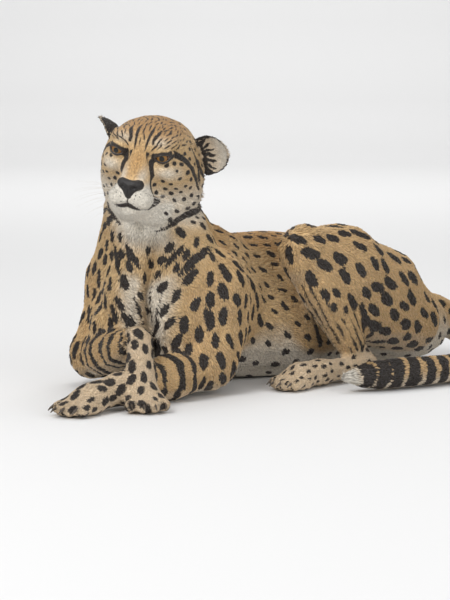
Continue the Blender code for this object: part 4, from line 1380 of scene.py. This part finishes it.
def hair_length(points, normals, region, web):
    """Length of the hair: shortest on the muzzle, longest on the nape and at the tail's end."""
    length = web.spread(by_region(COAT, region)[:, HAIR], 30)
    length *= 1 - 0.45 * ramp(-0.02, -0.075, to_head(points)[:, 1]) * on(region, "head")
    mantle = ramp(0.35, 0.9, normals[:, 2]) * on(region, "neck")
    length *= 1 + 0.7 * web.spread(mantle, 10)
    tail = on(region, *COAT_PIECES["coat_tail"])
    return length * (1 + 0.5 * ramp(0.7, 1.0, along_tail(points)[0]) * tail)


def make_coat(skin, points, normals, region, lie, fields, web):
    """Tufts over the whole skin, in pieces by part of the body."""
    corners, shares = sample_roots(skin, points, region, where_hair_grows(points))
    root = blend_at(corners, shares, points)
    normal = unit(blend_at(corners, shares, normals))
    way = flat_on(normal, blend_at(corners, shares, lie))
    where = region[corners[:, 0]]
    count = len(root)
    length = blend_at(corners, shares, hair_length(points, normals, region, web))
    length *= rng.uniform(0.78, 1.18, count)
    width = by_region(COAT, where)[:, ROOM] * rng.uniform(0.62, 0.95, count) * 0.9
    lift = length * rng.uniform(0.10, 0.20, count)
    tone = rng.random(count)
    # Near the floor the hair is pressed flat and kept above it.
    low = ramp(0.030, 0.004, root[:, 2])
    way[:, 2] = np.where(way[:, 2] < 0, way[:, 2] * (1 - low), way[:, 2])
    lift *= 1 - 0.8 * low * (normal[:, 2] < 0)
    tufts = root, normal, unit(way), length, width, lift, blend_at(corners, shares, fields), tone, where
    surface = surface_tree(skin.data, points)
    first = np.array([face.vertices[0] for face in skin.data.polygons])

    def paint_at(places):
        """The painted fields of the skin nearest to each place."""
        found = np.array([surface.find_nearest(place)[2] for place in places.tolist()])
        return fields[first[found]]

    for label, names in COAT_PIECES.items():
        here = np.nonzero(on(where, *names))[0]
        here = here[np.argsort(root[here, 1], kind="stable")]
        parts = math.ceil(len(here) / TUFTS_A_PIECE)
        for number, chosen in enumerate(np.array_split(here, parts), start=1):
            title = label if parts == 1 else "%s_%d" % (label, number)
            build_tufts(title, *(values[chosen] for values in tufts), paint_at)


# ---------------------------------------------------------------- eyes, lids, nose, whiskers and claws
def eye_material():
    material, tree, shader, place = new_material("amber_eye", 0.3, Coat_Weight=0.8, Coat_Roughness=0.02,
                                                 Coat_IOR=1.45, Specular_IOR_Level=0.1)
    gaze, spoke = attribute(tree, "gaze")["Fac"], attribute(tree, "spoke")["Fac"]
    wave = math_node(tree, "SINE", times(tree, spoke, 61.0))
    streak = math_node(tree, "ADD", times(tree, wave, 0.12), noise(tree, place, 700.0))
    amber = mix_colour(tree, streak, (0.080, 0.026, 0.004), (0.40, 0.180, 0.030))
    inner = mix_colour(tree, span(tree, gaze, 0.28, 0.42), (0.22, 0.115, 0.022), amber)
    iris = mix_colour(tree, span(tree, gaze, 0.50, 0.66), inner, (0.020, 0.010, 0.005))
    white = mix_colour(tree, span(tree, gaze, 0.67, 0.76), iris, (0.16, 0.085, 0.05))
    pupil = mix_colour(tree, span(tree, gaze, 0.265, 0.295), (0.002, 0.002, 0.002), white)
    feed(tree, shader.inputs["Base Color"], pupil)
    bump(tree, shader, streak, 0.0003, 0.2)
    return material


def make_eyeball(name, side):
    """The eyeball with a bulging cornea; each point knows its angle from the gaze and round it."""
    bm = bmesh.new()
    bmesh.ops.create_uvsphere(bm, u_segments=64, v_segments=40, radius=1.0)
    mesh = settled(bm, name)
    sphere = read_points(mesh)
    gaze = unit(np.array([side * 0.13, -1.0, -0.10]) @ HEAD_AXES)
    right = unit(np.cross(HEAD_AXES[2], gaze))
    top = np.cross(gaze, right)
    turned = sphere[:, :1] * right + sphere[:, 1:2] * top + sphere[:, 2:] * gaze
    angle = np.arccos(np.clip(sphere[:, 2], -1, 1))
    cornea = 1 + 0.055 * ramp(0.78, 0.20, angle)
    write_points(mesh, middle(name) + turned * (EYE_RADIUS * 0.985 * cornea)[:, None])
    for label, values in (("gaze", angle), ("spoke", np.arctan2(sphere[:, 1], sphere[:, 0]))):
        layer = mesh.attributes.new(label, "FLOAT", "POINT")
        layer.data.foreach_set("value", values.astype(np.float32))
    mesh.materials.append(EYE_MATERIAL)
    eye = new_piece("eyeball_" + name.split("_")[1], mesh)
    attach(eye, "root")
    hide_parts(name)


def tube(line, radii, sides=8, closed=False):
    """A round tube along a line, with its ends drawn to points unless it is closed."""
    line = np.asarray(line, float)
    count = len(line)
    ahead = np.roll(line, -1, axis=0) - np.roll(line, 1, axis=0)
    if not closed:
        ahead[0], ahead[-1] = line[1] - line[0], line[-1] - line[-2]
    ahead = unit(ahead)
    across = unit(np.cross(ahead, [0.13, 0.21, 0.97]))
    above = np.cross(across, ahead)
    turns = np.linspace(0, 2 * math.pi, sides, endpoint=False)[None, :, None]
    ring = np.cos(turns) * across[:, None, :] + np.sin(turns) * above[:, None, :]
    points = line[:, None, :] + ring * np.asarray(radii)[:, None, None]
    faces = []
    for step, turn in itertools.product(range(count if closed else count - 1), range(sides)):
        here, after = step * sides, (step + 1) % count * sides
        beside = (turn + 1) % sides
        faces.append((here + turn, after + turn, after + beside, here + beside))
    if not closed:
        faces.append(tuple(range(sides)))
        faces.append(tuple((count - 1) * sides + turn for turn in reversed(range(sides))))
    return points.reshape(-1, 3), faces


def joined(name, tubes, material):
    points, faces, start = [], [], 0
    for tube_points, tube_faces in tubes:
        points.append(tube_points)
        faces += [tuple(index + start for index in face) for face in tube_faces]
        start += len(tube_points)
    mesh = bpy.data.meshes.new(name)
    mesh.from_pydata(np.concatenate(points).tolist(), [], faces)
    mesh.materials.append(material)
    obj = new_piece(name, mesh)
    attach(obj, "root")


def lid_edge(side, steps=40):
    """The closed almond of the lids' edges, on the eye's sphere."""
    centre, out, up, forward = eye_frame(side)
    along = -np.cos(np.linspace(0, math.pi, steps))
    upper, lower = lid_reach(along)
    turned = np.concatenate([along, along[::-1][1:-1]]) * LID_HALF_WIDTH
    raised = np.concatenate([upper, -lower[::-1][1:-1]])
    across = turned * math.cos(LID_TILT) - raised * math.sin(LID_TILT)
    rise = (turned * math.sin(LID_TILT) + raised * math.cos(LID_TILT))[:, None]
    level = np.cos(across)[:, None] * forward + np.sin(across)[:, None] * out
    return centre + (np.cos(rise) * level + np.sin(rise) * up) * (EYE_RADIUS + 0.0007)


def make_lids():
    material = two_toned("lid_rim", 0.35, 900.0, 3.0, ((0.008, 0.006, 0.005), (0.035, 0.022, 0.017)),
                         (0.0004, 0.6), Coat_Weight=0.4)
    edges = [lid_edge(side) for side in (1, -1)]
    tubes = [tube(edge, np.full(len(edge), LID_RIM), closed=True) for edge in edges]
    joined("lid_rims", tubes, material)


# The left nostril, shaped like a comma, in the head's frame.
NOSTRIL = [(0.0062, -0.105, -0.0080), (0.0095, -0.104, -0.0065),
           (0.0130, -0.100, -0.0080), (0.0155, -0.095, -0.0120)]


def make_nose():
    """The nose leather, cast finely, with nostrils, painted shade inside them, and a groove down its
    middle.
    """
    nose = cast("nose_leather", ["nose"], swell=0.0002, grain=0.0009)
    web = Web(nose.data)
    points = eased(read_points(nose.data), web, np.full(web.count, 0.9), rounds=24)
    write_points(nose.data, points)
    normals = read_normals(nose.data)
    local = to_head(points)
    front = ramp(-0.090, -0.098, local[:, 1])
    sink = np.zeros(len(points))
    # Painted shade in the nostrils: the hollow field darkens the leather down inside them.
    hollow = np.zeros(len(points))
    for side in (1, -1):
        away = distance_to_line(local, mirrored(NOSTRIL, side))[0]
        sink += 0.0058 * hump(away, 0.0032)
        hollow = np.maximum(hollow, hump(away, 0.0030))
    sink += 0.0011 * hump(local[:, 0], 0.0010) * ramp(-0.004, -0.010, local[:, 2])
    write_points(nose.data, points - normals * (sink * front)[:, None] * HEAD_SIZE)
    write_colours(nose.data, "hollow", np.stack([hollow * front] * 3 + [np.ones(len(points))], axis=1))
    material, tree, shader, place = new_material("nose_leather", 0.46, Coat_Weight=0.12, Coat_Roughness=0.3)
    cells = add_node(tree, "ShaderNodeTexVoronoi", feature="DISTANCE_TO_EDGE")
    feed(tree, cells.inputs["Vector"], place)
    cells.inputs["Scale"].default_value = 900.0
    pebble = span(tree, cells.outputs["Distance"], 0.0, 0.35)
    base = mix_colour(tree, noise(tree, place, 180.0), (0.005, 0.004, 0.004), (0.018, 0.013, 0.011))
    shaded(tree, shader, base, times(tree, attribute(tree, "hollow")["Fac"], 0.9))
    bump(tree, shader, pebble, 0.0004, 0.6)
    nose.data.materials.append(material)
    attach(nose, "root")
    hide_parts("nose")


WHISKER_RADIUS = 0.00020


def make_whiskers(surface):
    material = two_toned("whisker", 0.4, 60.0, 3.0, ((0.52, 0.46, 0.38), (0.80, 0.76, 0.70)))
    tubes = []
    for side, row, step in itertools.product((1, -1), range(4), range(1, 5)):
        root = to_head(whisker_root(surface, side, row, step))
        length = 0.042 + 0.009 * step - 0.004 * abs(row - 1) + rng.uniform(-0.006, 0.006)
        way = unit(np.array([side * (0.75 + 0.08 * step), -0.42 + 0.22 * step, 0.10 - 0.16 * row]))
        reach = np.linspace(-0.02, 1, 11)[:, None]
        droop = np.array([0, 0.10, -0.26]) * reach**2
        line = from_head(root + (way * reach + droop) * length)
        tubes.append(tube(line, WHISKER_RADIUS * (1 - 0.8 * np.linspace(0, 1, 11)), sides=5))
    joined("whiskers", tubes, material)


def finish_claws():
    material = two_toned("claw_horn", 0.3, 420.0, 4.0, ((0.020, 0.016, 0.013), (0.16, 0.125, 0.095)),
                         (0.0002, 0.5), Coat_Weight=0.3)
    for name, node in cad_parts.items():
        if name.startswith("claw"):
            node.data.materials.clear()
            node.data.materials.append(material)


# ---------------------------------------------------------------- camera, light and floor
VIEW_AZIMUTH, VIEW_ELEVATION, VIEW_DISTANCE = math.radians(45), math.radians(5.5), 4.0
LENS, SENSOR = 130.2, 36.0  # millimetres
AIM = Vector((0.0, 0.0, 0.2))
AIM_SHIFT = 0.0587  # how far left of the aim and below it the middle of the frame is
# The floor runs out flat behind the animal, then curves up: distance behind it, and height.
FLOOR_HALF_WIDTH = 12.0
FLOOR_PROFILE = [(-12.0, 0.0), (8.0, 0.0), (8.6, 0.07), (9.1, 0.33), (9.35, 0.80), (9.4, 1.5), (9.4, 7.0)]


def make_stage():
    """A floor that curves up into a backdrop, square to the camera."""
    back = np.array([-math.sin(VIEW_AZIMUTH), math.cos(VIEW_AZIMUTH)])
    side = np.array([back[1], -back[0]])
    bm = bmesh.new()
    rows = []
    for along, up in FLOOR_PROFILE:
        ends = [back * along - side * FLOOR_HALF_WIDTH, back * along + side * FLOOR_HALF_WIDTH]
        rows.append([bm.verts.new((*end, up)) for end in ends])
    for first, second in zip(rows, rows[1:]):
        bm.faces.new((first[0], first[1], second[1], second[0]))
    bmesh.ops.recalc_face_normals(bm, faces=bm.faces)
    floor = new_piece("floor", settled(bm, "floor"))
    material = bpy.data.materials.new("pale_paper")
    material.use_nodes = True
    shader = material.node_tree.nodes["Principled BSDF"]
    shader.inputs["Base Color"].default_value = (0.80, 0.80, 0.80, 1)
    shader.inputs["Roughness"].default_value = 0.9
    floor.data.materials.append(material)


def add_lamp(name, place, target, size, power):
    data = bpy.data.lights.new(name, "AREA")
    data.shape = "DISK"
    data.size = size
    data.energy = power
    lamp = bpy.data.objects.new(name, data)
    lamp.location = place
    lamp.rotation_euler = (Vector(target) - Vector(place)).to_track_quat("-Z", "Y").to_euler()
    bpy.context.scene.collection.objects.link(lamp)


def make_light():
    add_lamp("key", (0.6, -3.2, 2.9), AIM, 1.8, 72)
    add_lamp("fill", (3.4, -0.4, 1.6), AIM, 2.2, 22)
    add_lamp("top", (-0.6, 0.8, 3.2), AIM, 2.4, 34)
    add_lamp("backdrop", (-3.2, 3.2, 5.0), (-6.6, 6.6, 0.9), 3.0, 175)
    world = bpy.data.worlds.new("studio")
    bpy.context.scene.world = world
    world.use_nodes = True
    world.node_tree.nodes["Background"].inputs["Color"].default_value = (1, 1, 1, 1)
    world.node_tree.nodes["Background"].inputs["Strength"].default_value = 0.54


def make_camera():
    sine, cosine, level = math.sin(VIEW_AZIMUTH), math.cos(VIEW_AZIMUTH), math.cos(VIEW_ELEVATION)
    back = Vector((sine * level, -cosine * level, math.sin(VIEW_ELEVATION)))
    right = Vector((cosine, sine, 0))
    up = back.cross(right)
    data = bpy.data.cameras.new("camera")
    data.lens, data.sensor_width = LENS, SENSOR
    camera = bpy.data.objects.new("camera", data)
    camera.location = AIM + back * VIEW_DISTANCE
    target = AIM - (right + up) * AIM_SHIFT
    camera.rotation_euler = (target - camera.location).to_track_quat("-Z", "Y").to_euler()
    bpy.context.scene.collection.objects.link(camera)
    bpy.context.scene.camera = camera


skin, points, normals, region, web = make_skin()
lie = lie_of_coat(points, normals, region, web)
edge, pale, rust = markings(skin, points, normals, region, lie, web)
fields = painted_fields(edge, pale, rust)
write_colours(skin.data, "coat_fields", fields)
COAT_COLOUR = coat_colour_group()
SHADE = shade_group()
COAT_MATERIAL = tuft_material()
EYE_MATERIAL = eye_material()
skin.data.materials.clear()
skin.data.materials.append(skin_material())
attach(skin, "root")
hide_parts(*FLESH)
make_coat(skin, points, normals, region, lie, fields, web)
make_eyeball("eye_left", 1)
make_eyeball("eye_right", -1)
make_lids()
make_nose()
make_whiskers(surface_tree(skin.data, points))
finish_claws()

make_stage()
make_light()
make_camera()
bpy.context.scene.view_settings.view_transform = "Standard"
